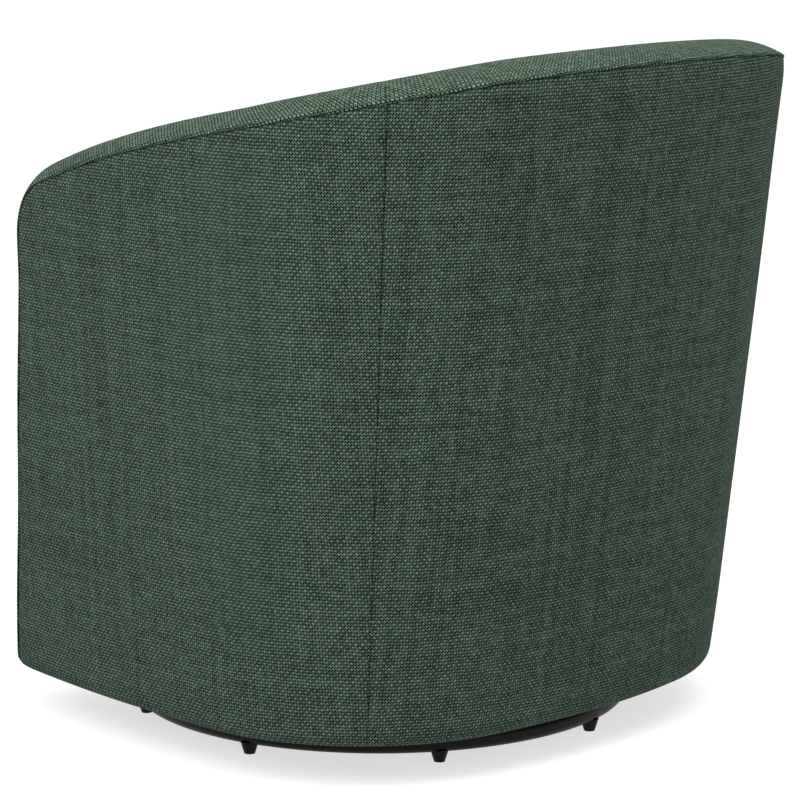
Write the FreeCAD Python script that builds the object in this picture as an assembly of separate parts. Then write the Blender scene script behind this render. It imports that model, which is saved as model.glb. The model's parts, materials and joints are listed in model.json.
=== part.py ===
import FreeCAD, Part
import math
import os

from FreeCAD import Vector

# Swivel barrel armchair, in millimetres. The model is laid out about the swivel axis, with the chair
# facing -Y, and is moved on saving so that the origin is on the floor, below the middle of its width
# and depth.

# Plan of the body: three tangent arcs a side, widening from the hem to the top of the back
HEM_HEIGHT = 46.0
PLAN_TOP_HEIGHT = 780.0
HEM_HALF_WIDTH = 325.0
TOP_HALF_WIDTH = 359.0
HEM_BACK_REACH = 307.5
TOP_BACK_REACH = 392.5
HEM_SHOULDER_RADIUS = 221.0
TOP_SHOULDER_RADIUS = 239.5
SIDE_RADIUS = 1773.0
BACK_RADIUS = 820.0
WIDEST_Y = 100.5

# Side view: the rim's height at four places along the depth, and the leaning arm front
RIM_FRONT_Y = -271.0
RIM_FRONT_HEIGHT = 510.0
RIM_FORE_Y = -54.0
RIM_FORE_HEIGHT = 594.0
RIM_AFT_Y = 162.5
RIM_AFT_HEIGHT = 642.5
RIM_BACK_Y = 411.5
RIM_BACK_HEIGHT = 702.0
ARM_FRONT_FOOT_Y = -252.0
ARM_FRONT_LEAN = 0.112
ARM_CORNER_RADIUS = 64.0

# Rear seams of the outer cover, as the angle round the shoulder arc
SEAM_ANGLE_HEM = 44.5
SEAM_ANGLE_TOP = 41.6

# Layers of the wall, from the outside in
COVER_THICKNESS = 4.0
LINING_THICKNESS = 3.0
LINING_RISE = 6.0
FRAME_DEPTH = 38.0
WEBBING_THICKNESS = 2.0
FOAM_THICKNESS = 38.5
INSIDE_COVER_THICKNESS = 2.5
BACK_BAND_CROWN = 13.5
ARM_BAND_CROWN = 19.5
BAND_THICKNESS = 2.5

# Frame of the body
BOARD_THICKNESS = 20.0
TOP_RAIL_THICKNESS = 20.0
FACING_THICKNESS = 18.0
ARM_POST_DEPTH = 55.0
POST_WIDTH = 45.0
FRAME_PLAY = 0.5
POST_TOP_PLAY = 0.3
SIDE_POST_Y = 20.0
SHOULDER_POST_ANGLE = 45.0
SEAT_RAIL_HEIGHT = 47.0
SEAT_RAIL_TOP = 262.0
SEAT_RAIL_THICKNESS = 22.0
CORNER_BLOCK_LEG = 55.0

# Front apron and loose cushion
APRON_CENTRE_REACH = 287.0
APRON_SIDE_REACH = 246.0
APRON_THICKNESS = 12.0
APRON_EDGE_CLEARANCE = 0.3
DECK_THICKNESS = 13.0
DECK_EDGE_CLEARANCE = 0.5
CUSHION_THICKNESS = 150.0
CUSHION_CROWN = 22.0
CUSHION_FRONT_REACH = 303.0
CUSHION_FRONT_SIDE_REACH = 268.0
CUSHION_CORNER = 34.0
CUSHION_SIDE_CLEARANCE = 4.0
CUSHION_SEAT_CLEARANCE = 0.3
CUSHION_DRAW_IN = 5.0
CUSHION_SEAM_RISE = 24.0
CUSHION_EDGE_RISE = 9.0

# Sinuous springs
SPRING_COUNT = 5
SPRING_SPACING = 78.0
SPRING_WIDTH = 50.0
SPRING_PITCH = 27.0
SPRING_WIRE_DIAMETER = 3.6
CLIP_WIDTH = 20.0
CLIP_DEPTH = 14.0
CLIP_HEIGHT = 5.8
CLIP_WIRE_HEIGHT = 3.0
WIRE_PLAY = 0.05
SPRING_DECK_CLEARANCE = 0.2

# Base ring, bars and glides
GLIDE_HEIGHT = 10.0
GLIDE_TOP_DIAMETER = 19.0
GLIDE_FOOT_DIAMETER = 11.0
GLIDE_COUNT = 8
GLIDE_SEAT_DEPTH = 2.5
GLIDE_STEM_DIAMETER = 6.0
GLIDE_STEM_LENGTH = 6.0
GLIDE_STEM_PLAY = 0.1
RING_DIAMETER = 520.0
TUBE_DIAMETER = 20.0
TUBE_WALL = 2.0
GLIDE_TURN = 12.2
BAR_TURN = GLIDE_TURN + 22.5
BAR_WIDTH = 40.0
BAR_HEIGHT = 20.0
BAR_WALL = 2.0
BAR_LAP = 4.0

# Ball-bearing swivel
PLATE_SIZE = 150.0
PLATE_CORNER_RADIUS = 12.0
PLATE_THICKNESS = 3.0
RACE_RADIUS = 42.0
RACE_WIDTH = 16.0
RACE_BOSS_HEIGHT = 3.6
BALL_DIAMETER = 6.4
BALL_COUNT = 24
BALL_PLAY = 0.05
CAGE_THICKNESS = 1.2
CAGE_WIDTH = 14.0
CAGE_PLAY = 0.1
PIVOT_DIAMETER = 12.0
PIVOT_PLAY = 0.1
PIVOT_HEAD_DIAMETER = 20.0
PIVOT_HEAD_HEIGHT = 2.5
PIVOT_ACCESS_DIAMETER = 26.0
PIVOT_END_REACH = 1.0
WASHER_DIAMETER = 28.0
WASHER_THICKNESS = 2.0
PIVOT_NUT_WIDTH = 19.0
PIVOT_NUT_HEIGHT = 8.0
NUT_ROOM_DIAMETER = 44.0
BASE_BOLT_RADIUS = 62.0
BASE_BOLT_DIAMETER = 8.0
BASE_BOLT_HEAD_DIAMETER = 13.0
BASE_BOLT_HEAD_HEIGHT = 4.0
BASE_NUT_WIDTH = 13.0
BASE_NUT_HEIGHT = 6.5
BASE_BOLT_SPARE = 1.5
BODY_BOLT_SPACING = 120.0
BODY_BOLT_DIAMETER = 6.0
BODY_BOLT_HEAD_DIAMETER = 12.0
BODY_BOLT_HEAD_HEIGHT = 3.6
BOLT_HOLE_PLAY = 0.3
THREAD_PLAY = 0.05
TEE_NUT_FLANGE_DIAMETER = 20.0
TEE_NUT_FLANGE_THICKNESS = 1.5
TEE_NUT_BARREL_DIAMETER = 8.5
TEE_NUT_BARREL_LENGTH = 11.0
TEE_NUT_PLAY = 0.05

# Dust cover
DUST_COVER_THICKNESS = 1.0
DUST_COVER_INSET = 9.0
DUST_COVER_PLATE_CLEARANCE = 2.0

# Fitting room between layers of the wall, and under the band
LAYER_PLAY = 0.1
BAND_PLAY = 0.3

# Stations along the rim path, for each stretch of it
REAR_STATIONS = 4
BEHIND_SEAM_STATIONS = 7
BEFORE_SEAM_STATIONS = 7
SIDE_STATIONS = 8
CORNER_STATIONS = 8
FRONT_STATIONS = 2
FACING_STATIONS = 6
STEP_ALONG = 0.01
SETTLING_STEPS = 25
LOFT_DEGREE = 3

# Sizes that follow
LINING_START = COVER_THICKNESS
FRAME_START = LINING_START + LINING_THICKNESS
FRAME_END = FRAME_START + FRAME_DEPTH
FOAM_START = FRAME_END + WEBBING_THICKNESS
FOAM_END = FOAM_START + FOAM_THICKNESS
WALL = FOAM_END + INSIDE_COVER_THICKNESS
BOARD_TOP = HEM_HEIGHT + BOARD_THICKNESS
SEAT_RAIL_BOTTOM = SEAT_RAIL_TOP - SEAT_RAIL_HEIGHT
SPRING_HEIGHT = SEAT_RAIL_TOP + CLIP_WIRE_HEIGHT
DECK_BOTTOM = SEAT_RAIL_TOP + CLIP_HEIGHT + SPRING_DECK_CLEARANCE
DECK_TOP = DECK_BOTTOM + DECK_THICKNESS
CUSHION_BOTTOM = DECK_TOP + CUSHION_SEAT_CLEARANCE
TUBE_RADIUS = TUBE_DIAMETER / 2
RING_CENTRE_RADIUS = RING_DIAMETER / 2 - TUBE_RADIUS
RING_HEIGHT = GLIDE_HEIGHT + TUBE_RADIUS
BAR_BOTTOM = RING_HEIGHT - BAR_HEIGHT / 2
BAR_TOP = RING_HEIGHT + BAR_HEIGHT / 2
LOWER_PLATE_TOP = BAR_TOP + PLATE_THICKNESS
UPPER_PLATE_BOTTOM = HEM_HEIGHT - PLATE_THICKNESS
BALL_HEIGHT = (LOWER_PLATE_TOP + UPPER_PLATE_BOTTOM) / 2
BACK_REACH = HEM_BACK_REACH + (RIM_BACK_HEIGHT - HEM_HEIGHT) / (PLAN_TOP_HEIGHT - HEM_HEIGHT) * (
    TOP_BACK_REACH - HEM_BACK_REACH
)
TO_FLOOR_CENTRE = Vector(0, (CUSHION_FRONT_REACH - BACK_REACH) / 2, 0)
Z_AXIS = Vector(0, 0, 1)
AXIS_FOOT = Vector(0, 0, 0)


def save(name, shape):
    """Writes one piece, moved so that the origin is below the middle of the chair."""
    piece = shape.copy()
    piece.translate(TO_FLOOR_CENTRE)
    solids = piece.Solids
    if not solids or not piece.isValid():
        print("CHECK", name, "solids", len(solids), "valid", piece.isValid())
    out = solids[0] if len(solids) == 1 else Part.Compound(solids)
    out.exportStep("parts/" + name + ".step")


def mirrored(shape):
    return shape.mirror(AXIS_FOOT, Vector(1, 0, 0))


def block(x0, y0, z0, x1, y1, z1):
    return Part.makeBox(x1 - x0, y1 - y0, z1 - z0, Vector(x0, y0, z0))


def cylinder(radius, z0, z1, x=0.0, y=0.0):
    return Part.makeCylinder(radius, z1 - z0, Vector(x, y, z0))


def turned(shape, angle):
    copy = shape.copy()
    copy.rotate(AXIS_FOOT, Z_AXIS, angle)
    return copy


def hexagon(width, z0, z1, x=0.0, y=0.0):
    corner = width / math.sqrt(3)
    points = [
        Vector(x + corner * math.cos(math.radians(a)), y + corner * math.sin(math.radians(a)), z0)
        for a in range(0, 361, 60)
    ]
    return Part.Face(Part.makePolygon(points)).extrude(Vector(0, 0, z1 - z0))


def on_circle(centre, radius, angle, height):
    return Vector(centre[0] + radius * math.cos(angle), centre[1] + radius * math.sin(angle), height)


def arc_edge(centre, radius, start, end, height):
    points = [on_circle(centre, radius, a, height) for a in (start, (start + end) / 2, end)]
    return Part.Arc(*points).toShape()


class Plan:
    """The body's outline at one height, drawn in from the outside by an inset."""

    def __init__(self, height, inset=0.0):
        share = (height - HEM_HEIGHT) / (PLAN_TOP_HEIGHT - HEM_HEIGHT)
        half_width = HEM_HALF_WIDTH + share * (TOP_HALF_WIDTH - HEM_HALF_WIDTH)
        back = HEM_BACK_REACH + share * (TOP_BACK_REACH - HEM_BACK_REACH)
        shoulder = HEM_SHOULDER_RADIUS + share * (TOP_SHOULDER_RADIUS - HEM_SHOULDER_RADIUS)
        self.height = height
        self.side = (half_width - SIDE_RADIUS, WIDEST_Y)
        self.rear = (0.0, back - BACK_RADIUS)
        across, along = self.rear[0] - self.side[0], self.rear[1] - self.side[1]
        distance = math.hypot(across, along)
        from_side, from_rear = SIDE_RADIUS - shoulder, BACK_RADIUS - shoulder
        part_way = (from_side**2 - from_rear**2 + distance**2) / (2 * distance)
        off_line = math.sqrt(from_side**2 - part_way**2)
        across, along = across / distance, along / distance
        self.corner = (
            self.side[0] + across * part_way - along * off_line,
            self.side[1] + along * part_way + across * off_line,
        )
        if self.corner[1] < self.side[1] + along * part_way:
            self.corner = (
                self.side[0] + across * part_way + along * off_line,
                self.side[1] + along * part_way - across * off_line,
            )
        self.side_end = math.atan2(self.corner[1] - self.side[1], self.corner[0] - self.side[0])
        self.rear_start = math.atan2(self.corner[1] - self.rear[1], self.corner[0] - self.rear[0])
        self.side_radius = SIDE_RADIUS - inset
        self.shoulder_radius = shoulder - inset
        self.rear_radius = BACK_RADIUS - inset

    def side_angle(self, y):
        return math.asin((y - self.side[1]) / self.side_radius)

    def side_point(self, y):
        return on_circle(self.side, self.side_radius, self.side_angle(y), self.height)

    def shoulder_point(self, angle):
        return on_circle(self.corner, self.shoulder_radius, angle, self.height)

    def rear_point(self, angle):
        return on_circle(self.rear, self.rear_radius, angle, self.height)

    def round_edges(self, front_y):
        """The arcs from the right side's front end round the back to the left side's front end."""
        start = self.side_angle(front_y)
        right = [
            arc_edge(self.side, self.side_radius, start, self.side_end, self.height),
            arc_edge(self.corner, self.shoulder_radius, self.side_end, self.rear_start, self.height),
        ]
        rear = arc_edge(
            self.rear, self.rear_radius, self.rear_start, math.pi - self.rear_start, self.height
        )
        return right + [rear] + [mirrored(edge) for edge in reversed(right)]


def rim_height(y):
    """A cubic through the rim's four named places."""
    places = [
        (RIM_FRONT_Y, RIM_FRONT_HEIGHT),
        (RIM_FORE_Y, RIM_FORE_HEIGHT),
        (RIM_AFT_Y, RIM_AFT_HEIGHT),
        (RIM_BACK_Y, RIM_BACK_HEIGHT),
    ]
    total = 0.0
    for i, (yi, zi) in enumerate(places):
        term = zi
        for j, (yj, _) in enumerate(places):
            if i != j:
                term *= (y - yj) / (yi - yj)
        total += term
    return total


def rim_slope(y):
    return (rim_height(y + 1) - rim_height(y - 1)) / 2


def arm_front_y(height):
    return ARM_FRONT_FOOT_Y + ARM_FRONT_LEAN * height


def corner_centre(rim_y):
    slope = rim_slope(rim_y)
    length = math.hypot(1, slope)
    return (
        rim_y + slope / length * ARM_CORNER_RADIUS,
        rim_height(rim_y) - ARM_CORNER_RADIUS / length,
    )


def find_corner():
    """Where the arm's rounded corner leaves the rim, by halving until it touches the front too."""
    low, high = RIM_FRONT_Y, RIM_AFT_Y
    for _ in range(60):
        middle = (low + high) / 2
        y, z = corner_centre(middle)
        distance = (y - arm_front_y(z)) / math.hypot(1, ARM_FRONT_LEAN)
        if distance < ARM_CORNER_RADIUS:
            low = middle
        else:
            high = middle
    return (low + high) / 2


CORNER_RIM_Y = find_corner()
CORNER_Y, CORNER_Z = corner_centre(CORNER_RIM_Y)
CORNER_START_ANGLE = math.pi / 2 + math.atan(rim_slope(CORNER_RIM_Y))
CORNER_END_ANGLE = math.pi - math.atan(ARM_FRONT_LEAN)
FRONT_START_HEIGHT = CORNER_Z + ARM_CORNER_RADIUS * math.sin(CORNER_END_ANGLE)

# The rim path runs from the middle of the back to the arm front in four stretches: the rear arc, the
# shoulder arc behind the seam, the shoulder arc before it, and the side.
REAR, BEHIND_SEAM, BEFORE_SEAM, SIDE = range(4)


def seam_angle(height):
    share = (height - HEM_HEIGHT) / (PLAN_TOP_HEIGHT - HEM_HEIGHT)
    return math.radians(SEAM_ANGLE_HEM + share * (SEAM_ANGLE_TOP - SEAM_ANGLE_HEM))


def outer_point(stretch, share, height, front_y=None):
    """A point of the outer surface, by its stretch of the path and share of that."""
    plan = Plan(height)
    if stretch == REAR:
        return plan.rear_point(math.pi / 2 + share * (plan.rear_start - math.pi / 2))
    if stretch == BEHIND_SEAM:
        return plan.shoulder_point(plan.rear_start + share * (seam_angle(height) - plan.rear_start))
    if stretch == BEFORE_SEAM:
        seam = seam_angle(height)
        return plan.shoulder_point(seam + share * (plan.side_end - seam))
    start = plan.side[1] + plan.side_radius * math.sin(plan.side_end)
    end = arm_front_y(height) if front_y is None else front_y
    return plan.side_point(start + share * (end - start))


def across(stretch, share):
    """The level direction through the wall's thickness, the same at every height of a slice."""
    if stretch >= SIDE:
        return Vector(-1, 0, 0)
    plan = Plan(RIM_AFT_HEIGHT)
    centre = plan.rear if stretch == REAR else plan.corner
    point = outer_point(stretch, share, RIM_AFT_HEIGHT)
    return Vector(centre[0] - point.x, centre[1] - point.y, 0).normalize()


def wall_point(stretch, share, height, inset=0.0, front_y=None):
    return outer_point(stretch, share, height, front_y) + across(stretch, share) * inset


def side_wall_point(y, height, inset):
    return Plan(height).side_point(y) + Vector(-inset, 0, 0)


def top_height(stretch, share):
    """The rim's height where a slice meets it, found by settling."""
    height = RIM_AFT_HEIGHT
    for _ in range(SETTLING_STEPS):
        height = rim_height(wall_point(stretch, share, height).y)
    return height


def shares(stretch, first=0.0, last=1.0):
    count = (REAR_STATIONS, BEHIND_SEAM_STATIONS, BEFORE_SEAM_STATIONS, SIDE_STATIONS)[stretch]
    return [(stretch, first + (last - first) * i / count) for i in range(count + 1)]


def joined(*runs):
    """Runs of places end to end, without the doubled places where they meet."""
    places = list(runs[0])
    for run in runs[1:]:
        places += run[1:]
    return places


BACK_HALF = joined(shares(REAR), shares(BEHIND_SEAM))
ARM = joined(shares(BEFORE_SEAM), shares(SIDE))


def slice_wire(place, outer, inner, low, flip=1):
    """One upright slice of a wall layer: from a fixed height, or a drop from the rim, to the rim."""
    stretch, share = place
    high = top_height(stretch, share)
    bottom = high + low if low < 0 else low
    corners = [
        wall_point(stretch, share, high, outer),
        wall_point(stretch, share, high, inner),
        wall_point(stretch, share, bottom, inner),
        wall_point(stretch, share, bottom, outer),
    ]
    corners = [Vector(flip * p.x, p.y, p.z) for p in corners]
    return Part.makePolygon(corners + corners[:1])


def solid_loft(wires, ruled=False):
    shape = Part.makeLoft(wires, True, ruled, False, LOFT_DEGREE)
    if shape.Volume < 0:
        shape.reverse()
    return shape


def flat_slice(place, outer, inner, low, high, front_y=None, flip=1):
    """One upright slice of a layer between two fixed heights."""
    stretch, share = place
    levels = ((high, outer), (high, inner), (low, inner), (low, outer))
    corners = [wall_point(stretch, share, z, inset, front_y) for z, inset in levels]
    corners = [Vector(flip * p.x, p.y, p.z) for p in corners]
    return Part.makePolygon(corners + corners[:1])


def round_the_back(make):
    """Slices of the right half in reverse, then of the left half, from one function."""
    right = [make(place, 1) for place in reversed(BACK_HALF)]
    left = [make(place, -1) for place in BACK_HALF[1:]]
    return right + left


def corner_waste():
    """What the arm's rounded corner takes off, as a prism across the chair."""
    reach = ARM_CORNER_RADIUS * 3
    width = TOP_HALF_WIDTH * 2

    def on_corner(angle):
        return Vector(
            -width,
            CORNER_Y + ARM_CORNER_RADIUS * math.cos(angle),
            CORNER_Z + ARM_CORNER_RADIUS * math.sin(angle),
        )

    middle_angle = (CORNER_START_ANGLE + CORNER_END_ANGLE) / 2
    start, end = on_corner(CORNER_START_ANGLE), on_corner(CORNER_END_ANGLE)
    bend = Part.Arc(start, on_corner(middle_angle), end).toShape()
    corners = [
        end,
        Vector(-width, end.y - reach, end.z),
        Vector(-width, end.y - reach, start.z + reach),
        Vector(-width, start.y, start.z + reach),
        start,
    ]
    lines = [Part.makeLine(a, b) for a, b in zip(corners, corners[1:])]
    return Part.Face(Part.Wire([bend] + lines)).extrude(Vector(width * 2, 0, 0))


CORNER_WASTE = corner_waste()


def back_layer(outer, inner, low):
    def make(place, flip):
        return slice_wire(place, outer, inner, low, flip)

    return solid_loft(round_the_back(make), True)


def arm_layer(outer, inner, low):
    wires = [slice_wire(place, outer, inner, low) for place in ARM]
    return solid_loft(wires, True).cut(CORNER_WASTE)


def save_layers(back_name, arm_name, outer, inner, low):
    """One layer of the wall as a back piece and two arm pieces, up to the rim."""
    save(back_name, back_layer(outer, inner, low))
    save_both(arm_name, arm_layer(outer, inner, low))


def save_both(name, left_shape):
    """Saves the sitter's left (+X) piece and its mirror image."""
    save(name + "_left", left_shape)
    save(name + "_right", mirrored(left_shape))


# The band's sections stand square to a path that also rounds the arm's corner and runs down its front


def side_view_place(stretch, share):
    """Depth and height of the path's last three stretches: rim, rounded corner and front."""
    if stretch == 0:
        start = wall_point(SIDE, 0.0, top_height(SIDE, 0.0)).y
        y = start + share * (CORNER_RIM_Y - start)
        return y, rim_height(y)
    if stretch == 1:
        angle = CORNER_START_ANGLE + share * (CORNER_END_ANGLE - CORNER_START_ANGLE)
        return (
            CORNER_Y + ARM_CORNER_RADIUS * math.cos(angle),
            CORNER_Z + ARM_CORNER_RADIUS * math.sin(angle),
        )
    height = FRONT_START_HEIGHT + share * (HEM_HEIGHT - FRONT_START_HEIGHT)
    return arm_front_y(height), height


def rim_point(stretch, share):
    if stretch <= BEFORE_SEAM:
        return wall_point(stretch, share, top_height(stretch, share))
    y, height = side_view_place(stretch - SIDE, share)
    return Plan(height).side_point(y)


def band_crown(stretch, share):
    """The band's crown: low over the back, and rising round the shoulder to its height on the arm."""
    if stretch == REAR:
        return BACK_BAND_CROWN
    if stretch >= SIDE:
        return ARM_BAND_CROWN
    turn = (share + stretch - BEHIND_SEAM) / 2
    return BACK_BAND_CROWN + turn**2 * (3 - 2 * turn) * (ARM_BAND_CROWN - BACK_BAND_CROWN)


def station(stretch, share, level=False):
    """Point, inward direction, outward lift and crown of the band's cross-section at one place."""
    before, after = max(share - STEP_ALONG, 0.0), min(share + STEP_ALONG, 1.0)
    point = rim_point(stretch, share)
    along = rim_point(stretch, after) - rim_point(stretch, before)
    if level:
        along = Vector(0, 0, -1)
    through = across(stretch, share)
    along = along - through * along.dot(through)
    return point, through, through.cross(along).normalize(), band_crown(stretch, share)


def band_stations(stretches):
    counts = (
        REAR_STATIONS,
        BEHIND_SEAM_STATIONS,
        BEFORE_SEAM_STATIONS,
        SIDE_STATIONS,
        CORNER_STATIONS,
        FRONT_STATIONS,
    )
    places = []
    for stretch in stretches:
        count = counts[stretch]
        first = 1 if places else 0
        for i in range(first, count + 1):
            last = stretch == len(counts) - 1 and i == count
            places.append(station(stretch, i / count, last))
    return places


def at(place, inset, lift):
    point, through, up, _ = place
    return point + through * inset + up * lift


def band_section(place, thickness, drawn_in):
    low, high = drawn_in, WALL - drawn_in
    crown = place[-1] - drawn_in
    seat = BAND_PLAY
    top = Part.Arc(at(place, low, seat), at(place, WALL / 2, crown), at(place, high, seat)).toShape()
    if not thickness:
        return Part.Wire([top, Part.makeLine(at(place, high, seat), at(place, low, seat))])
    inner = Part.Arc(
        at(place, high - thickness, seat),
        at(place, WALL / 2, crown - thickness),
        at(place, low + thickness, seat),
    ).toShape()
    right = Part.makeLine(at(place, high, seat), at(place, high - thickness, seat))
    left = Part.makeLine(at(place, low + thickness, seat), at(place, low, seat))
    return Part.Wire([top, right, inner, left])


def band_over(places, thickness, drawn_in):
    return solid_loft([band_section(place, thickness, drawn_in) for place in places], True)


# The bowed seat front: an arc from arm to arm


def front_bow(centre_reach, side_reach):
    """Centre, radius and half span of the bow that passes these reaches at the middle and the arms."""
    half_span = Plan(HEM_HEIGHT, WALL).side_point(-side_reach).x
    rise = centre_reach - side_reach
    radius = (half_span**2 + rise**2) / (2 * rise)
    return (0.0, radius - centre_reach), radius


def bow_angle(bow, x):
    centre, radius = bow
    return -math.pi / 2 + math.asin(x / radius)


def apron_bow(behind):
    return front_bow(APRON_CENTRE_REACH - behind, APRON_SIDE_REACH - behind)


def bowed_panel_wire(start, thickness, half_width, height):
    outer, inner = apron_bow(start), apron_bow(start + thickness)
    a, b = bow_angle(outer, half_width), bow_angle(inner, half_width)
    front = arc_edge(*outer, -math.pi - a, a, height)
    back = arc_edge(*inner, -math.pi - b, b, height)
    front_end, back_end = on_circle(*outer, a, height), on_circle(*inner, b, height)
    right = Part.makeLine(front_end, back_end)
    return Part.Wire(Part.__sortEdges__([front, right, back, mirrored(right)]))


def bowed_panel(start, thickness, half_width_at, z0, z1):
    """An upright bowed panel between the leaning arms, from so far behind the apron's face."""
    wires = [bowed_panel_wire(start, thickness, half_width_at(z), z) for z in (z0, z1)]
    return solid_loft(wires, True)


def bowed_plate_wire(height, inset, behind, half_width, side_front_y):
    """Outline of a level plate: the body's plan, stepped back at the arms, bowed between them."""
    plan = Plan(height, inset)
    bow = apron_bow(behind)
    angle = bow_angle(bow, half_width)
    bow_end = on_circle(*bow, angle, height)
    side_end = plan.side_point(side_front_y)
    step = Vector(bow_end.x, side_front_y, height)
    right = []
    if side_end.x - step.x > LAYER_PLAY:
        right.append(Part.makeLine(side_end, step))
    right.append(Part.makeLine(step, bow_end))
    front = arc_edge(*bow, -math.pi - angle, angle, height)
    edges = plan.round_edges(side_front_y) + right + [front] + [mirrored(edge) for edge in right]
    return Part.Wire(Part.__sortEdges__(edges))


# Upholstered wall


def make_wall_layers():
    play = LAYER_PLAY
    save_layers("outer_panel_back", "outer_panel", 0.0, COVER_THICKNESS, HEM_HEIGHT)
    # The lining stops short of the hem, where the cover turns under
    save_layers("lining_back", "lining_arm", LINING_START + play, FRAME_START, HEM_HEIGHT + LINING_RISE)
    room = (-FACING_THICKNESS, FACING_THICKNESS + play)
    facing = arm_board(room, FRAME_START, WALL, HEM_HEIGHT, over_the_rim)
    low = DECK_BOTTOM
    back = back_layer(FRAME_END + play, FOAM_START, low)
    arm = arm_layer(FRAME_END + play, FOAM_START, low).cut(facing)
    save("inner_webbing", Part.Compound([back, arm, mirrored(arm)]))
    save("inside_back_foam", back_layer(FOAM_START + play, FOAM_END, low))
    save_both("inside_arm_foam", arm_layer(FOAM_START + play, FOAM_END, low).cut(facing))
    save_layers("inside_back_cover", "inside_arm_cover", FOAM_END + play, WALL, low)


def make_rim():
    back = band_stations((REAR, BEHIND_SEAM))
    flip = [tuple(Vector(-v.x, v.y, v.z) for v in place[:3]) + place[3:] for place in back[1:]]
    back = list(reversed(flip)) + back
    arm = band_stations((BEFORE_SEAM, SIDE, SIDE + 1, SIDE + 2))
    pad_start = BAND_THICKNESS + LAYER_PLAY
    save("rim_band_back", band_over(back, BAND_THICKNESS, 0.0))
    save("rim_padding_back", band_over(back, 0.0, pad_start))
    save_both("rim_band", band_over(arm, BAND_THICKNESS, 0.0))
    save_both("rim_padding", band_over(arm, 0.0, pad_start))


# Frame inside the body


def arm_board(depths, outer, inner, low, top_at):
    """An upright board in the arm, through planes at these depths behind the leaning arm front."""
    wires = []
    for depth in depths:
        high = top_at(depth)
        corners = []
        for z, inset in ((high, outer), (high, inner), (low, inner), (low, outer)):
            corners.append(side_wall_point(arm_front_y(z) + depth, z, inset))
        wires.append(Part.makePolygon(corners + corners[:1]))
    return solid_loft(wires, True)


def corner_height(depth):
    """Where the arm's rounded corner meets the plane at this depth behind the arm front."""
    length = math.hypot(1, ARM_FRONT_LEAN)
    square_depth = depth / length
    rise = math.sqrt(ARM_CORNER_RADIUS**2 - (ARM_CORNER_RADIUS - square_depth) ** 2)
    return FRONT_START_HEIGHT + (rise - square_depth * ARM_FRONT_LEAN) / length


def over_the_rim(depth):
    return RIM_FORE_HEIGHT


def make_arm_fronts():
    outer = FRAME_START + FRAME_PLAY
    depths = [FACING_THICKNESS * (i / FACING_STATIONS) ** 2 for i in range(FACING_STATIONS + 1)]
    facing = arm_board(depths, outer, FOAM_END - FRAME_PLAY, HEM_HEIGHT, corner_height)
    save_both("arm_front_facing", facing)
    front = FACING_THICKNESS + LAYER_PLAY
    depths = (front, front + ARM_POST_DEPTH / 2, front + ARM_POST_DEPTH)
    post = arm_board(depths, outer, FRAME_END - FRAME_PLAY, BOARD_TOP, over_the_rim)
    save_both("arm_front_post", post.cut(CORNER_WASTE).cut(above_rim_at_arm()))


def above_rim_at_arm():
    """What lies over the straight part of the rim near the arm front, as a prism."""
    width = TOP_HALF_WIDTH * 2
    steps = 6
    ys = [CORNER_RIM_Y + (RIM_AFT_Y - CORNER_RIM_Y) * i / steps for i in range(steps + 1)]
    line = [Vector(-width, y, rim_height(y)) for y in ys]
    top = max(place.z for place in line) + ARM_CORNER_RADIUS
    outline = line + [Vector(-width, ys[-1], top), Vector(-width, ys[0], top), line[0]]
    return Part.Face(Part.makePolygon(outline)).extrude(Vector(width * 2, 0, 0))


def before_rail_end():
    """What lies in front of the arm post's back face, as a prism across the chair."""
    width = TOP_HALF_WIDTH * 2
    depth = FACING_THICKNESS + ARM_POST_DEPTH + LAYER_PLAY * 2
    low, high = HEM_HEIGHT, PLAN_TOP_HEIGHT
    back_low, back_high = arm_front_y(low) + depth, arm_front_y(high) + depth
    corners = [
        Vector(-width, back_low - width, low),
        Vector(-width, back_low, low),
        Vector(-width, back_high, high),
        Vector(-width, back_low - width, high),
    ]
    return Part.Face(Part.makePolygon(corners + corners[:1])).extrude(Vector(width * 2, 0, 0))


def make_top_rail():
    outer, inner = FRAME_START + FRAME_PLAY, FRAME_END - FRAME_PLAY
    drop = -TOP_RAIL_THICKNESS
    save("top_rail_back", back_layer(outer, inner, drop))
    rail = solid_loft([slice_wire(place, outer, inner, drop) for place in ARM], True)
    save_both("top_rail", rail.cut(before_rail_end()))


def top_under_rail(post_at):
    """The height just under the rail over a post: over its edges or its middle, whichever is lowest."""
    height = RIM_AFT_HEIGHT
    for _ in range(SETTLING_STEPS):
        height = min(rim_height(post_at(height, 0.0, edge).y) for edge in (-1, 0, 1))
    return height - TOP_RAIL_THICKNESS - POST_TOP_PLAY


def upright(post_at, inner):
    """A post from the bottom board to the rail, whose faces are given by a function."""
    outer = FRAME_START + FRAME_PLAY
    wires = []
    for z in (BOARD_TOP, top_under_rail(post_at)):
        corners = [post_at(z, outer, -1), post_at(z, outer, 1), post_at(z, inner, 1), post_at(z, inner, -1)]
        wires.append(Part.makePolygon(corners + corners[:1]))
    return solid_loft(wires, True)


def make_posts():
    outer, inner = FRAME_START + FRAME_PLAY, FRAME_END - FRAME_PLAY
    half = POST_WIDTH / 2

    def side(z, inset, edge):
        return Plan(z, inset).side_point(SIDE_POST_Y + edge * half)

    def shoulder(z, inset, edge):
        spread = half / Plan(z, outer).shoulder_radius
        return Plan(z, inset).shoulder_point(math.radians(SHOULDER_POST_ANGLE) + edge * spread)

    def rear(z, inset, edge):
        spread = half / Plan(z, outer).rear_radius
        return Plan(z, inset).rear_point(math.pi / 2 + edge * spread)

    flat_inside = POST_WIDTH**2 / Plan(BOARD_TOP, outer).shoulder_radius / 4
    save_both("side_post", upright(side, inner))
    save_both("shoulder_post", upright(shoulder, inner - flat_inside))
    save("centre_back_post", upright(rear, inner))


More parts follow.
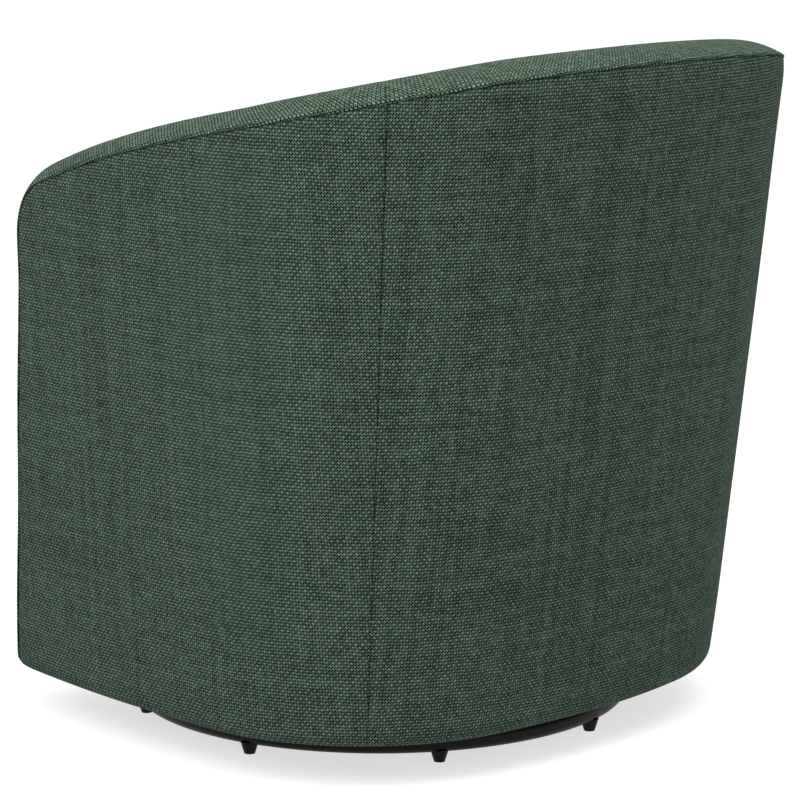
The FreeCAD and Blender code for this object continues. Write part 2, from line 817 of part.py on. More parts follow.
def make_seat_rails():
    low, high = SEAT_RAIL_BOTTOM, SEAT_RAIL_TOP
    outer, inner = FRAME_END + LAYER_PLAY, FRAME_END + SEAT_RAIL_THICKNESS

    def rear(place, flip):
        return flat_slice(place, outer, inner, low, high, None, flip)

    save("rear_seat_rail", solid_loft(round_the_back(rear), True))
    front_y = arm_front_y(high) + FACING_THICKNESS + LAYER_PLAY
    side = [flat_slice(place, outer, inner, low, high, front_y) for place in ARM]
    save_both("side_seat_rail", solid_loft(side, True))

    rail_front = APRON_THICKNESS + FRAME_PLAY
    rail = bowed_panel(rail_front, SEAT_RAIL_THICKNESS, between_arms, low, high)
    save("front_seat_rail", rail)
    bow = apron_bow(rail_front + SEAT_RAIL_THICKNESS + FRAME_PLAY)
    near_side = Plan(low, inner + FRAME_PLAY)
    outer_corner = near_side.side_point(front_y)
    inner_x = between_arms(low)
    corner = on_circle(*bow, bow_angle(bow, inner_x), low)
    along_front = on_circle(*bow, bow_angle(bow, inner_x - CORNER_BLOCK_LEG), low)
    along_side = near_side.side_point(front_y + CORNER_BLOCK_LEG)
    step = Vector(inner_x, front_y, low)
    outline = [corner, along_front, along_side, outer_corner, step, corner]
    block_face = Part.Face(Part.makePolygon(outline))
    save_both("corner_block", block_face.extrude(Vector(0, 0, high - low)))


def body_bolt_places():
    offset = BODY_BOLT_SPACING / 2
    return [(x, y) for x in (-offset, offset) for y in (-offset, offset)]


def between_arms(height):
    """Half the width between the arms' insides at the apron, less its clearance."""
    return side_wall_point(-APRON_SIDE_REACH, height, WALL).x - APRON_EDGE_CLEARANCE


def make_bottom_board():
    front_y = arm_front_y(BOARD_TOP) + FACING_THICKNESS + LAYER_PLAY
    behind = APRON_THICKNESS + FRAME_PLAY
    wires = [
        bowed_plate_wire(z, FRAME_START + FRAME_PLAY, behind, between_arms(z), front_y)
        for z in (HEM_HEIGHT, BOARD_TOP)
    ]
    board = solid_loft(wires, True).cut(cylinder(NUT_ROOM_DIAMETER / 2, HEM_HEIGHT, BOARD_TOP))
    hole = TEE_NUT_BARREL_DIAMETER / 2 + TEE_NUT_PLAY
    for x, y in body_bolt_places():
        board = board.cut(cylinder(hole, HEM_HEIGHT, BOARD_TOP, x, y))
    save("bottom_board", board)


def make_dust_cover():
    low = HEM_HEIGHT - DUST_COVER_THICKNESS
    front_y = arm_front_y(HEM_HEIGHT) + DUST_COVER_INSET
    wire = bowed_plate_wire(low, DUST_COVER_INSET, APRON_THICKNESS, between_arms(low), front_y)
    cover = Part.Face(wire).extrude(Vector(0, 0, DUST_COVER_THICKNESS))
    edge = PLATE_SIZE / 2 + DUST_COVER_PLATE_CLEARANCE
    save("dust_cover", cover.cut(block(-edge, -edge, low, edge, edge, HEM_HEIGHT)))


def make_front_apron():
    save("front_apron", bowed_panel(0.0, APRON_THICKNESS, between_arms, HEM_HEIGHT, DECK_TOP))


def make_deck_pad():
    inset = WALL + DECK_EDGE_CLEARANCE
    front_y = APRON_THICKNESS * 2 - APRON_SIDE_REACH

    def plate_wire(height):
        half_width = Plan(height, inset).side_point(front_y).x
        return bowed_plate_wire(height, inset, APRON_THICKNESS + FRAME_PLAY, half_width, front_y)

    wires = [plate_wire(z) for z in (DECK_BOTTOM, DECK_TOP)]
    save("deck_pad", solid_loft(wires, True))


# Sinuous springs


def spring_ends(x):
    """Where a spring's end bars lie: over the middle of the front and rear rails."""
    bow = apron_bow(APRON_THICKNESS + FRAME_PLAY + SEAT_RAIL_THICKNESS / 2)
    front = on_circle(*bow, bow_angle(bow, x), SPRING_HEIGHT).y
    rear = Plan(SEAT_RAIL_TOP, FRAME_END + SEAT_RAIL_THICKNESS / 2)
    back = rear.rear[1] + math.sqrt(rear.rear_radius**2 - x**2)
    return front, back


def spring_places():
    return [(i - (SPRING_COUNT - 1) / 2) * SPRING_SPACING for i in range(SPRING_COUNT)]


def make_springs():
    radius = SPRING_WIRE_DIAMETER / 2
    springs, clips = [], []
    for x in spring_places():
        front, back = spring_ends(x)
        turns = round((back - front) / SPRING_PITCH)
        pitch = (back - front) / turns
        reach = (SPRING_WIDTH - pitch) / 2
        edges = []
        for i in range(turns + 1):
            side = 1 if i % 2 == 0 else -1
            y = front + i * pitch
            start = Vector(x - side * reach, y, SPRING_HEIGHT)
            end = Vector(x + side * reach, y, SPRING_HEIGHT)
            edges.append(Part.makeLine(start, end))
            if i < turns:
                middle = Vector(x + side * SPRING_WIDTH / 2, y + pitch / 2, SPRING_HEIGHT)
                after = Vector(end.x, y + pitch, SPRING_HEIGHT)
                edges.append(Part.Arc(end, middle, after).toShape())
        path = Part.Wire(edges)
        first = edges[0].Vertexes[0].Point
        ring = Part.Wire(Part.makeCircle(radius, first, Vector(1, 0, 0)))
        springs.append(path.makePipeShell([ring], True, False))
        for y in (front, back):
            clip = block(
                x - CLIP_WIDTH / 2,
                y - CLIP_DEPTH / 2,
                SEAT_RAIL_TOP,
                x + CLIP_WIDTH / 2,
                y + CLIP_DEPTH / 2,
                SEAT_RAIL_TOP + CLIP_HEIGHT,
            )
            bore = Part.makeCylinder(
                radius + WIRE_PLAY, CLIP_WIDTH, Vector(x - CLIP_WIDTH / 2, y, SPRING_HEIGHT), Vector(1, 0, 0)
            )
            clips.append(clip.cut(bore))
    save("seat_springs", Part.Compound(springs))
    save("spring_clips", Part.Compound(clips))


# Loose cushion


def cushion_wire(height, inset, scale):
    """The cushion's outline: the body's inside, with a bowed front and rounded front corners."""
    plan = Plan(height, WALL + CUSHION_SIDE_CLEARANCE + inset)
    centre_reach, side_reach = CUSHION_FRONT_REACH - inset, CUSHION_FRONT_SIDE_REACH - inset
    corner = plan.side_point(-side_reach)
    rise = centre_reach - side_reach
    radius = (corner.x**2 + rise**2) / (2 * rise)
    centre = (0.0, radius - centre_reach)
    corner_angle = math.atan2(corner.y - centre[1], corner.x - centre[0])
    front_end = corner_angle - CUSHION_CORNER / radius
    side_start = plan.side_point(corner.y + CUSHION_CORNER)
    front_point = on_circle(centre, radius, front_end, height)
    to_side, to_front = (side_start - corner).normalize(), (front_point - corner).normalize()
    half_angle = math.acos(max(-1.0, min(1.0, to_side.dot(to_front)))) / 2
    bisector = (to_side + to_front).normalize()
    bend = CUSHION_CORNER * math.tan(half_angle)
    middle = corner + bisector * (CUSHION_CORNER / math.cos(half_angle) - bend)
    right = Part.Arc(front_point, middle, side_start).toShape()
    front = arc_edge(centre, radius, -math.pi - front_end, front_end, height)
    edges = [front, right] + plan.round_edges(side_start.y) + [mirrored(right)]
    wire = Part.Wire(Part.__sortEdges__(edges))
    middle_y = (Plan(height, WALL).rear_point(math.pi / 2).y - CUSHION_FRONT_REACH) / 2
    wire.scale(scale, Vector(0, middle_y, height))
    return wire


def make_cushion():
    """Sides drawn in between the two seams, and a crown over the upper one."""
    low, high = CUSHION_BOTTOM, CUSHION_BOTTOM + CUSHION_THICKNESS
    draw = CUSHION_DRAW_IN
    profile = [
        (low, draw * 2, 1.0),
        (low + CUSHION_EDGE_RISE, draw * 0.4, 1.0),
        (low + CUSHION_SEAM_RISE, 0.0, 1.0),
        ((low + high) / 2, draw, 1.0),
        (high - CUSHION_SEAM_RISE, 0.0, 1.0),
        (high - CUSHION_EDGE_RISE, draw * 0.6, 1.0),
        (high, draw * 2.6, 1.0),
    ]
    crown_shape = ((0.55, 0.82), (0.88, 0.6), (1.0, 0.36))
    profile += [(high + rise * CUSHION_CROWN, draw, scale) for rise, scale in crown_shape]
    wires = [cushion_wire(*row) for row in profile]
    save("seat_cushion", solid_loft(wires))


# Base

RING = Part.makeTorus(RING_CENTRE_RADIUS, TUBE_RADIUS, Vector(0, 0, RING_HEIGHT))


def glide_places():
    turns = [math.radians(GLIDE_TURN + 360.0 * i / GLIDE_COUNT) for i in range(GLIDE_COUNT)]
    return [(RING_CENTRE_RADIUS * math.cos(a), RING_CENTRE_RADIUS * math.sin(a)) for a in turns]


def make_base_ring():
    bore = Part.makeTorus(RING_CENTRE_RADIUS, TUBE_RADIUS - TUBE_WALL, Vector(0, 0, RING_HEIGHT))
    tube = RING.cut(bore)
    hole = GLIDE_STEM_DIAMETER / 2 + GLIDE_STEM_PLAY
    for x, y in glide_places():
        tube = tube.cut(cylinder(hole, 0, RING_HEIGHT, x, y))
    save("base_ring", tube)


def make_floor_glides():
    glides = []
    seat = GLIDE_HEIGHT + GLIDE_SEAT_DEPTH
    for x, y in glide_places():
        body = Part.makeCone(
            GLIDE_FOOT_DIAMETER / 2, GLIDE_TOP_DIAMETER / 2, seat, Vector(x, y, 0)
        ).cut(RING)
        stem = cylinder(GLIDE_STEM_DIAMETER / 2, GLIDE_HEIGHT / 2, GLIDE_HEIGHT + GLIDE_STEM_LENGTH, x, y)
        glides.append(body.fuse(stem).removeSplitter())
    save("floor_glides", Part.Compound(glides))


def box_tube(start, end):
    """A box-section bar along X at the ring's height."""
    half_width = BAR_WIDTH / 2
    outer = block(start, -half_width, BAR_BOTTOM, end, half_width, BAR_TOP)
    room = half_width - BAR_WALL
    return outer.cut(block(start, -room, BAR_BOTTOM + BAR_WALL, end, room, BAR_TOP - BAR_WALL))


def base_bolt_places():
    turns = [math.radians(BAR_TURN + 90.0 * i) for i in range(4)]
    return [(BASE_BOLT_RADIUS * math.cos(a), BASE_BOLT_RADIUS * math.sin(a)) for a in turns]


def make_cross_bars():
    end = RING_CENTRE_RADIUS - TUBE_RADIUS + BAR_LAP
    long_bar = turned(box_tube(-end, end), BAR_TURN).cut(RING)
    short_bar = box_tube(BAR_WIDTH / 2, end)
    short_bars = [turned(short_bar, BAR_TURN + angle).cut(RING) for angle in (90, 270)]
    stud_hole = cylinder(PIVOT_DIAMETER / 2 + PIVOT_PLAY, BAR_TOP - BAR_WALL, BAR_TOP)
    access = cylinder(PIVOT_ACCESS_DIAMETER / 2, BAR_BOTTOM, BAR_BOTTOM + BAR_WALL)
    long_bar = long_bar.cut(stud_hole).cut(access)
    radius = BASE_BOLT_DIAMETER / 2 + BOLT_HOLE_PLAY
    for x, y in base_bolt_places():
        hole = cylinder(radius, BAR_TOP - BAR_WALL, BAR_TOP, x, y)
        long_bar = long_bar.cut(hole)
        short_bars = [bar.cut(hole) for bar in short_bars]
    save("cross_bar_long", long_bar)
    save("cross_bars_short", Part.Compound([s for bar in short_bars for s in bar.Solids]))


def plate(z0):
    edge = PLATE_SIZE / 2
    sheet = block(-edge, -edge, z0, edge, edge, z0 + PLATE_THICKNESS)
    corners = [e for e in sheet.Edges if abs(e.tangentAt(e.FirstParameter).z) > 0.9]
    return sheet.makeFillet(PLATE_CORNER_RADIUS, corners)


def race(z0, z1):
    """A raised ring on a plate, grooved for the balls."""
    boss = cylinder(RACE_RADIUS + RACE_WIDTH / 2, z0, z1)
    boss = boss.cut(cylinder(RACE_RADIUS - RACE_WIDTH / 2, z0, z1))
    groove = Part.makeTorus(RACE_RADIUS, BALL_DIAMETER / 2 + BALL_PLAY, Vector(0, 0, BALL_HEIGHT))
    return boss.cut(groove)


def make_swivel_plates():
    pivot = PIVOT_DIAMETER / 2 + PIVOT_PLAY
    lower = plate(BAR_TOP).fuse(race(LOWER_PLATE_TOP, LOWER_PLATE_TOP + RACE_BOSS_HEIGHT))
    lower = turned(lower.removeSplitter(), BAR_TURN)
    lower = lower.cut(cylinder(pivot, BAR_TOP, LOWER_PLATE_TOP))
    hole = BASE_BOLT_DIAMETER / 2 + BOLT_HOLE_PLAY
    for x, y in base_bolt_places():
        lower = lower.cut(cylinder(hole, BAR_TOP, LOWER_PLATE_TOP, x, y))
    save("swivel_lower_plate", lower)
    upper = plate(UPPER_PLATE_BOTTOM).fuse(race(UPPER_PLATE_BOTTOM - RACE_BOSS_HEIGHT, UPPER_PLATE_BOTTOM))
    upper = upper.removeSplitter().cut(cylinder(pivot, UPPER_PLATE_BOTTOM, HEM_HEIGHT))
    hole = BODY_BOLT_DIAMETER / 2 + BOLT_HOLE_PLAY
    for x, y in body_bolt_places():
        upper = upper.cut(cylinder(hole, UPPER_PLATE_BOTTOM, HEM_HEIGHT, x, y))
    save("swivel_upper_plate", upper)


def make_balls():
    turns = [math.radians(360.0 * i / BALL_COUNT) for i in range(BALL_COUNT)]
    places = [Vector(RACE_RADIUS * math.cos(a), RACE_RADIUS * math.sin(a), BALL_HEIGHT) for a in turns]
    save("swivel_balls", Part.Compound([Part.makeSphere(BALL_DIAMETER / 2, p) for p in places]))
    low, high = BALL_HEIGHT - CAGE_THICKNESS / 2, BALL_HEIGHT + CAGE_THICKNESS / 2
    cage = cylinder(RACE_RADIUS + CAGE_WIDTH / 2, low, high)
    cage = cage.cut(cylinder(RACE_RADIUS - CAGE_WIDTH / 2, low, high))
    for p in places:
        cage = cage.cut(cylinder(BALL_DIAMETER / 2 + CAGE_PLAY, low, high, p.x, p.y))
    save("ball_cage", cage)


def make_pivot():
    radius = PIVOT_DIAMETER / 2
    under = BAR_TOP - BAR_WALL
    washer_low = HEM_HEIGHT + PIVOT_PLAY
    nut_low = washer_low + WASHER_THICKNESS
    nut_high = nut_low + PIVOT_NUT_HEIGHT
    stud = cylinder(radius, under, nut_high + PIVOT_END_REACH)
    head = cylinder(PIVOT_HEAD_DIAMETER / 2, under - PIVOT_HEAD_HEIGHT, under)
    save("pivot_stud", stud.fuse(head).removeSplitter())
    bore = cylinder(radius + THREAD_PLAY, washer_low, nut_high)
    save("pivot_washer", cylinder(WASHER_DIAMETER / 2, washer_low, nut_low).cut(bore))
    save("pivot_nut", hexagon(PIVOT_NUT_WIDTH, nut_low, nut_high).cut(bore))


def make_base_bolts():
    bolts, nuts = [], []
    nut_high = BAR_TOP - BAR_WALL
    nut_low = nut_high - BASE_NUT_HEIGHT
    for x, y in base_bolt_places():
        shank = cylinder(BASE_BOLT_DIAMETER / 2, nut_low - BASE_BOLT_SPARE, LOWER_PLATE_TOP, x, y)
        top = LOWER_PLATE_TOP + BASE_BOLT_HEAD_HEIGHT
        head = cylinder(BASE_BOLT_HEAD_DIAMETER / 2, LOWER_PLATE_TOP, top, x, y)
        bolts.append(shank.fuse(head).removeSplitter())
        bore = cylinder(BASE_BOLT_DIAMETER / 2 + THREAD_PLAY, nut_low, nut_high, x, y)
        nuts.append(hexagon(BASE_NUT_WIDTH, nut_low, nut_high, x, y).cut(bore))
    save("lower_plate_bolts", Part.Compound(bolts))
    save("lower_plate_nuts", Part.Compound(nuts))


def make_body_bolts():
    bolts, nuts = [], []
    for x, y in body_bolt_places():
        shank = cylinder(BODY_BOLT_DIAMETER / 2, UPPER_PLATE_BOTTOM, BOARD_TOP, x, y)
        low = UPPER_PLATE_BOTTOM - BODY_BOLT_HEAD_HEIGHT
        head = cylinder(BODY_BOLT_HEAD_DIAMETER / 2, low, UPPER_PLATE_BOTTOM, x, y)
        bolts.append(shank.fuse(head).removeSplitter())
        barrel = cylinder(TEE_NUT_BARREL_DIAMETER / 2, BOARD_TOP - TEE_NUT_BARREL_LENGTH, BOARD_TOP, x, y)
        flange_top = BOARD_TOP + TEE_NUT_FLANGE_THICKNESS
        flange = cylinder(TEE_NUT_FLANGE_DIAMETER / 2, BOARD_TOP, flange_top, x, y)
        bore = cylinder(
            BODY_BOLT_DIAMETER / 2 + THREAD_PLAY, BOARD_TOP - TEE_NUT_BARREL_LENGTH, flange_top, x, y
        )
        nuts.append(barrel.fuse(flange).removeSplitter().cut(bore))
    save("upper_plate_bolts", Part.Compound(bolts))
    save("upper_tee_nuts", Part.Compound(nuts))


os.makedirs("parts", exist_ok=True)
make_wall_layers()
make_rim()
make_arm_fronts()
make_top_rail()
make_posts()
make_seat_rails()
make_bottom_board()
make_dust_cover()
make_front_apron()
make_deck_pad()
make_springs()
make_cushion()
make_base_ring()
make_floor_glides()
make_cross_bars()
make_swivel_plates()
make_balls()
make_pivot()
make_base_bolts()
make_body_bolts()
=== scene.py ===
import functools
import json
from math import asin, atan, atan2, ceil, cos, exp, hypot, pi, radians, sin, sqrt, tanh

import bmesh
import bpy
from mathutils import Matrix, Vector, noise
from mathutils.kdtree import KDTree


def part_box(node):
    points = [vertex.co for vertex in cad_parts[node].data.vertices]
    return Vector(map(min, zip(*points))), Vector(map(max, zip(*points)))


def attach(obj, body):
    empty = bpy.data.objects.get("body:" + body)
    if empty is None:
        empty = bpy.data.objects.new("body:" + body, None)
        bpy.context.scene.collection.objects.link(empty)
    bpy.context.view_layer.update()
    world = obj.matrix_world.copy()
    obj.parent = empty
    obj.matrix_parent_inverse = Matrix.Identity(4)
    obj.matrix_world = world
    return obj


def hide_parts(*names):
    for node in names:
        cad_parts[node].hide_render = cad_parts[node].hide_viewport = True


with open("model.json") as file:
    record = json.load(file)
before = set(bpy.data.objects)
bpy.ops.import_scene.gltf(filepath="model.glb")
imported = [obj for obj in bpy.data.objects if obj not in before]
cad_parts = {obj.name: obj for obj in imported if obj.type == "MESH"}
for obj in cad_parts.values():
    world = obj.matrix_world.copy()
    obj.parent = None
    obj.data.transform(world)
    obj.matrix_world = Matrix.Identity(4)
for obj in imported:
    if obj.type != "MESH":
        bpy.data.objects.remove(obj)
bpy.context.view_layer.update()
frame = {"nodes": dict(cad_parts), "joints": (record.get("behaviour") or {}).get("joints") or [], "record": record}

# The chair is laid out about its swivel axis, facing -Y, in metres
AXIS = Vector(next(joint["pos_m"] for joint in frame["joints"] if joint["name"] == "swivel"))

# Plan of the body: three tangent arcs a side, widening from the hem to the top of the back
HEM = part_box("outer_panel_back")[0].z
PLAN_TOP = 0.780
HEM_HALF_WIDTH = 0.325
TOP_HALF_WIDTH = 0.359
HEM_BACK_REACH = 0.3075
TOP_BACK_REACH = 0.3925
HEM_SHOULDER_RADIUS = 0.221
TOP_SHOULDER_RADIUS = 0.2395
SIDE_RADIUS = 1.773
BACK_RADIUS = 0.820
WIDEST_Y = 0.1005

# Side view of the rim and the leaning arm front
RIM_PLACES = ((-0.271, 0.510), (-0.054, 0.594), (0.1625, 0.6425), (0.4115, 0.702))
LEVEL_SLICE_HEIGHT = 0.6425
ARM_FRONT_FOOT_Y = -0.252
ARM_FRONT_LEAN = 0.112
ARM_CORNER_RADIUS = 0.064

# Rear seams of the outer cover, as the angle round the shoulder arc
SEAM_ANGLE_HEM = 44.5
SEAM_ANGLE_TOP = 41.6

# Thickness of the padded wall and the crown of the band over it, on the back and on the arms
WALL = 0.088
BACK_BAND_CROWN = 0.0135
ARM_BAND_CROWN = 0.0195
BAND_SEAT = 0.0003

# Rounds that settle a place on a curve, and the share of its way that each moves
HALVINGS = 50
RIM_ROUNDS = 12
CORNER_ROUNDS = 24
CORNER_SHARE = 0.6

# Cloth, and how fine its mesh is near seams and elsewhere
CLOTH_THICKNESS = 0.0012
MERGE = 0.00001
FINE_STEP = 0.0006
COARSE_STEP = 0.0060
STEP_GROWTH = 1.35
FOLD_STEPS = 8

# The hem: the cover leans in, folds under the body and ends there
HEM_DROP = 0.005
HEM_FOLD = 0.015
HEM_UNDER = 0.008
HEM_LEAN = 0.0020
HEM_LEAN_HEIGHT = 0.100
COVER_LOW = HEM - HEM_DROP
FOLD_TOP = COVER_LOW + HEM_FOLD

# The seam under the band: a sunk stitch line that strays a little, and the band's bulge over it.
# On the arm's corner and front the cloth lies calmer.
EDGE_LEAN = 0.0020
EDGE_LEAN_REACH = 0.025
SEAM_SINK = 0.0020
PANEL_SINK_REACH = 0.0016
BAND_SINK_REACH = 0.0018
BULGE = 0.0018
BULGE_REACH = 0.0050
JOINT_ROLL = 0.0008
WANDER = 0.0007
WANDER_LENGTH = 0.024
WANDER_START = 0.030
WANDER_RATE = 2.7
CALM = 0.15
FRONT_LEAN_START = 0.040
# Painted shade along the band's seam: how far it reaches, how dark it is, and how much that changes along the seam
RIM_PAINTED_SHADE_REACH = 0.0012
RIM_PAINTED_SHADE = 0.65
RIM_PAINTED_SHADE_CHANGE = 0.60

# Upright seams: a shallow uneven valley with its stitch line
VALLEY_DEPTH = 0.0009
VALLEY_REACH = 0.0030
STITCH_DEPTH = 0.0009
STITCH_REACH = 0.0009
# Painted shade along the upright seams and at the band's joints
UPRIGHT_PAINTED_SHADE = 0.9
JOINT_PAINTED_SHADE = 0.6
SEAM_PULL_LENGTH = 0.030
PULL = 0.75
PULL_CHANGE = 0.90
PULL_LEAST = 0.30
PULL_AT_HEM = 0.55

# Gathers beside seams, and the slow waves of cloth pulled over padding
PUCKER_LENGTH = 0.013
BAND_PUCKER = 0.0008
PANEL_PUCKER = 0.0004
PUCKER_REACH = 0.011
PUCKER_RATE = 2.3
FINER_SHARE = 0.5
FINER_SEED = 7.0
WAVE_LENGTH = 0.16
WAVE_DEPTH = 0.0012

# Where the chance patterns start: seam pulls, gathers and waves of each cloth
PULL_SEED = 3.0
BACK_SEEDS = (11.0, 5.0)
ARM_SEEDS = (13.0, 9.0)
BAND_SEEDS = (17.0, 21.0)
BAND_FAR_EDGE = 3.0
JOINT_SEED = 23.0
CUSHION_SEED = 40.0

# Apron and cushion
APRON_CENTRE_REACH = 0.287
APRON_SIDE_REACH = 0.246
APRON_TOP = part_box("front_apron")[1].z
APRON_PUFF = 0.004
APRON_SIDE_GAP = 0.0005
APRON_FOLD = 0.006
APRON_FLAP = 0.024
APRON_LIP = 0.0016
APRON_RETURN = 0.034
APRON_MITRE = 0.0012
APRON_FORWARD = 0.0045
APRON_FORWARD_REACH = 0.040
TUCK_DOWN = 0.008
SEAT_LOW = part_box("inside_back_cover")[0].z - TUCK_DOWN
CUSHION_LOW, CUSHION_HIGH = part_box("seat_cushion")
CUSHION_MIDDLE = (CUSHION_LOW.z + CUSHION_HIGH.z) / 2
CUSHION_SEAMS = (0.3053, 0.4073)
CUSHION_VOXEL = 0.0065
CUSHION_SHRINK = 0.006
CUSHION_PRESSURE = 4.0
CUSHION_FRAMES = 20
CUSHION_SPREAD = 0.010
CUSHION_SWELL = 0.024
CUSHION_SEAM_DEPTH = 0.0030
CUSHION_SEAM_REACH = 0.0055
CUSHION_PUCKER = 0.0012
CUSHION_ROUND = 0.29
# How far the painted shade along the cushion's seams reaches
CUSHION_PAINTED_SHADE_REACH = 0.0035
CUSHION_PLACES = 90
CUSHION_SHOULDER = 0.65
CUSHION_UPRIGHT = 0.4
# How dark the painted shade along the cushion's seams is
CUSHION_PAINTED_SHADE = 0.7
CUSHION_ROUNDS = 6
FOAM_VOXEL = 0.007
PAD_VOXEL = 0.005
FOAM_ROUNDS = 2

# Cloth under the body and burlap behind the foam
CAMBRIC_THICKNESS = 0.0005
CAMBRIC_STEP = 0.015
CAMBRIC_DROP = 0.0054
CAMBRIC_DRAW_IN = 0.010
CAMBRIC_HOLE_REACH = 0.120
CAMBRIC_SAG = 0.0022
CAMBRIC_SAG_REACH = 0.045
CAMBRIC_CREASE = 0.0010
CAMBRIC_CREASE_LENGTH = 0.050
BURLAP_WAVE = 0.0001
BURLAP_WAVE_LENGTH = 0.030


def clamped(value, low=0.0, high=1.0):
    return min(max(value, low), high)


def grown(height, low, high):
    """A size that changes evenly from the hem to the top of the plan."""
    return low + (height - HEM) / (PLAN_TOP - HEM) * (high - low)


class Plan:
    """The body's outline at one height."""

    def __init__(self, height):
        self.height = height
        self.shoulder = grown(height, HEM_SHOULDER_RADIUS, TOP_SHOULDER_RADIUS)
        self.side = Vector((grown(height, HEM_HALF_WIDTH, TOP_HALF_WIDTH) - SIDE_RADIUS, WIDEST_Y))
        self.rear = Vector((0.0, grown(height, HEM_BACK_REACH, TOP_BACK_REACH) - BACK_RADIUS))
        between = self.rear - self.side
        distance = between.length
        from_side = SIDE_RADIUS - self.shoulder
        from_rear = BACK_RADIUS - self.shoulder
        part_way = (from_side**2 - from_rear**2 + distance**2) / (2 * distance)
        off_line = sqrt(from_side**2 - part_way**2)
        between.normalize()
        square = Vector((between.y, -between.x))
        if square.y < 0:
            square = -square
        self.corner = self.side + between * part_way + square * off_line
        self.side_end = atan2(self.corner.y - self.side.y, self.corner.x - self.side.x)
        self.rear_start = atan2(self.corner.y - self.rear.y, self.corner.x - self.rear.x)

    def on_arc(self, centre, radius, angle):
        return Vector((centre.x + radius * cos(angle), centre.y + radius * sin(angle), self.height))

    def side_point(self, y):
        return self.on_arc(self.side, SIDE_RADIUS, asin((y - self.side.y) / SIDE_RADIUS))


def rim_height(y):
    """A cubic through the rim's four places."""
    total = 0.0
    for i, (yi, zi) in enumerate(RIM_PLACES):
        term = zi
        for j, (yj, _) in enumerate(RIM_PLACES):
            if i != j:
                term *= (y - yj) / (yi - yj)
        total += term
    return total


def rim_slope(y):
    step = 0.001
    return (rim_height(y + step) - rim_height(y - step)) / (2 * step)


def arm_front_y(height):
    return ARM_FRONT_FOOT_Y + ARM_FRONT_LEAN * height


def corner_centre(rim_y):
    slope = rim_slope(rim_y)
    length = hypot(1, slope)
    return rim_y + slope / length * ARM_CORNER_RADIUS, rim_height(rim_y) - ARM_CORNER_RADIUS / length


def find_corner():
    """Where the arm's rounded corner leaves the rim, by halving until it touches the front too."""
    low, high = RIM_PLACES[0][0], RIM_PLACES[2][0]
    for _ in range(HALVINGS):
        middle = (low + high) / 2
        y, z = corner_centre(middle)
        if (y - arm_front_y(z)) / hypot(1, ARM_FRONT_LEAN) < ARM_CORNER_RADIUS:
            low = middle
        else:
            high = middle
    return (low + high) / 2


CORNER_RIM_Y = find_corner()
CORNER_Y, CORNER_Z = corner_centre(CORNER_RIM_Y)
CORNER_START = pi / 2 + atan(rim_slope(CORNER_RIM_Y))
CORNER_END = pi - atan(ARM_FRONT_LEAN)
FRONT_START_HEIGHT = CORNER_Z + ARM_CORNER_RADIUS * sin(CORNER_END)

# The rim path runs from the middle of the back to the arm's foot in six stretches
REAR, BEHIND_SEAM, BEFORE_SEAM, SIDE, CORNER, FRONT = range(6)


def seam_angle(height):
    return radians(grown(height, SEAM_ANGLE_HEM, SEAM_ANGLE_TOP))


def outer_point(stretch, share, height, front_y=None):
    """A point of the outer surface about the swivel axis, by its stretch of the path and share of that."""
    plan = Plan(height)
    if stretch == REAR:
        angle = pi / 2 + share * (plan.rear_start - pi / 2)
        return plan.on_arc(plan.rear, BACK_RADIUS, angle)
    if stretch == BEHIND_SEAM:
        angle = plan.rear_start + share * (seam_angle(height) - plan.rear_start)
        return plan.on_arc(plan.corner, plan.shoulder, angle)
    if stretch == BEFORE_SEAM:
        seam = seam_angle(height)
        return plan.on_arc(plan.corner, plan.shoulder, seam + share * (plan.side_end - seam))
    start = plan.side.y + SIDE_RADIUS * sin(plan.side_end)
    end = arm_front_y(height) if front_y is None else front_y
    return plan.side_point(start + share * (end - start))


@functools.lru_cache(maxsize=None)
def inward(stretch, share):
    """The level direction through the wall at one upright line of the body."""
    if stretch >= SIDE:
        return Vector((-1, 0, 0))
    plan = Plan(LEVEL_SLICE_HEIGHT)
    centre = plan.rear if stretch == REAR else plan.corner
    point = outer_point(stretch, share, LEVEL_SLICE_HEIGHT)
    return Vector((centre.x - point.x, centre.y - point.y, 0)).normalized()


@functools.lru_cache(maxsize=None)
def rim_z(stretch, share):
    """The rim's height where an upright line meets it, found by settling."""
    height = LEVEL_SLICE_HEIGHT
    for _ in range(RIM_ROUNDS):
        height = rim_height(outer_point(stretch, share, height).y)
    return height


def arc_length(stretch):
    steps = 24
    points = [outer_point(stretch, i / steps, LEVEL_SLICE_HEIGHT) for i in range(steps + 1)]
    return sum((b - a).length for a, b in zip(points, points[1:]))


LENGTHS = [arc_length(stretch) for stretch in (REAR, BEHIND_SEAM, BEFORE_SEAM, SIDE)]
BACK_HALF_LENGTH = LENGTHS[REAR] + LENGTHS[BEHIND_SEAM]
ARM_LENGTH = LENGTHS[BEFORE_SEAM] + LENGTHS[SIDE]


def stretch_at(distance, first):
    """Stretch and share at a distance along a panel of two stretches, which starts with `first`."""
    beyond = distance - LENGTHS[first]
    if beyond > 0:
        return first + 1, min(beyond / LENGTHS[first + 1], 1.0)
    return first, distance / LENGTHS[first]


def spaced(length, fine=FINE_STEP, coarse=COARSE_STEP):
    """Places from 0 to a length, close together at both ends."""
    steps, step, total = [], fine, 0.0
    while total + step < length / 2:
        steps.append(step)
        total += step
        step = min(step * STEP_GROWTH, coarse)
    steps = steps + [(length - 2 * total) / 2] * 2 + steps[::-1]
    places = [0.0]
    for step in steps:
        places.append(places[-1] + step)
    return places


def round_the_side(plan, y):
    """How far round the side a point lies from where the arm's threads run straight up."""
    return SIDE_RADIUS * (asin((y - plan.side.y) / SIDE_RADIUS) + asin(plan.side.y / SIDE_RADIUS))


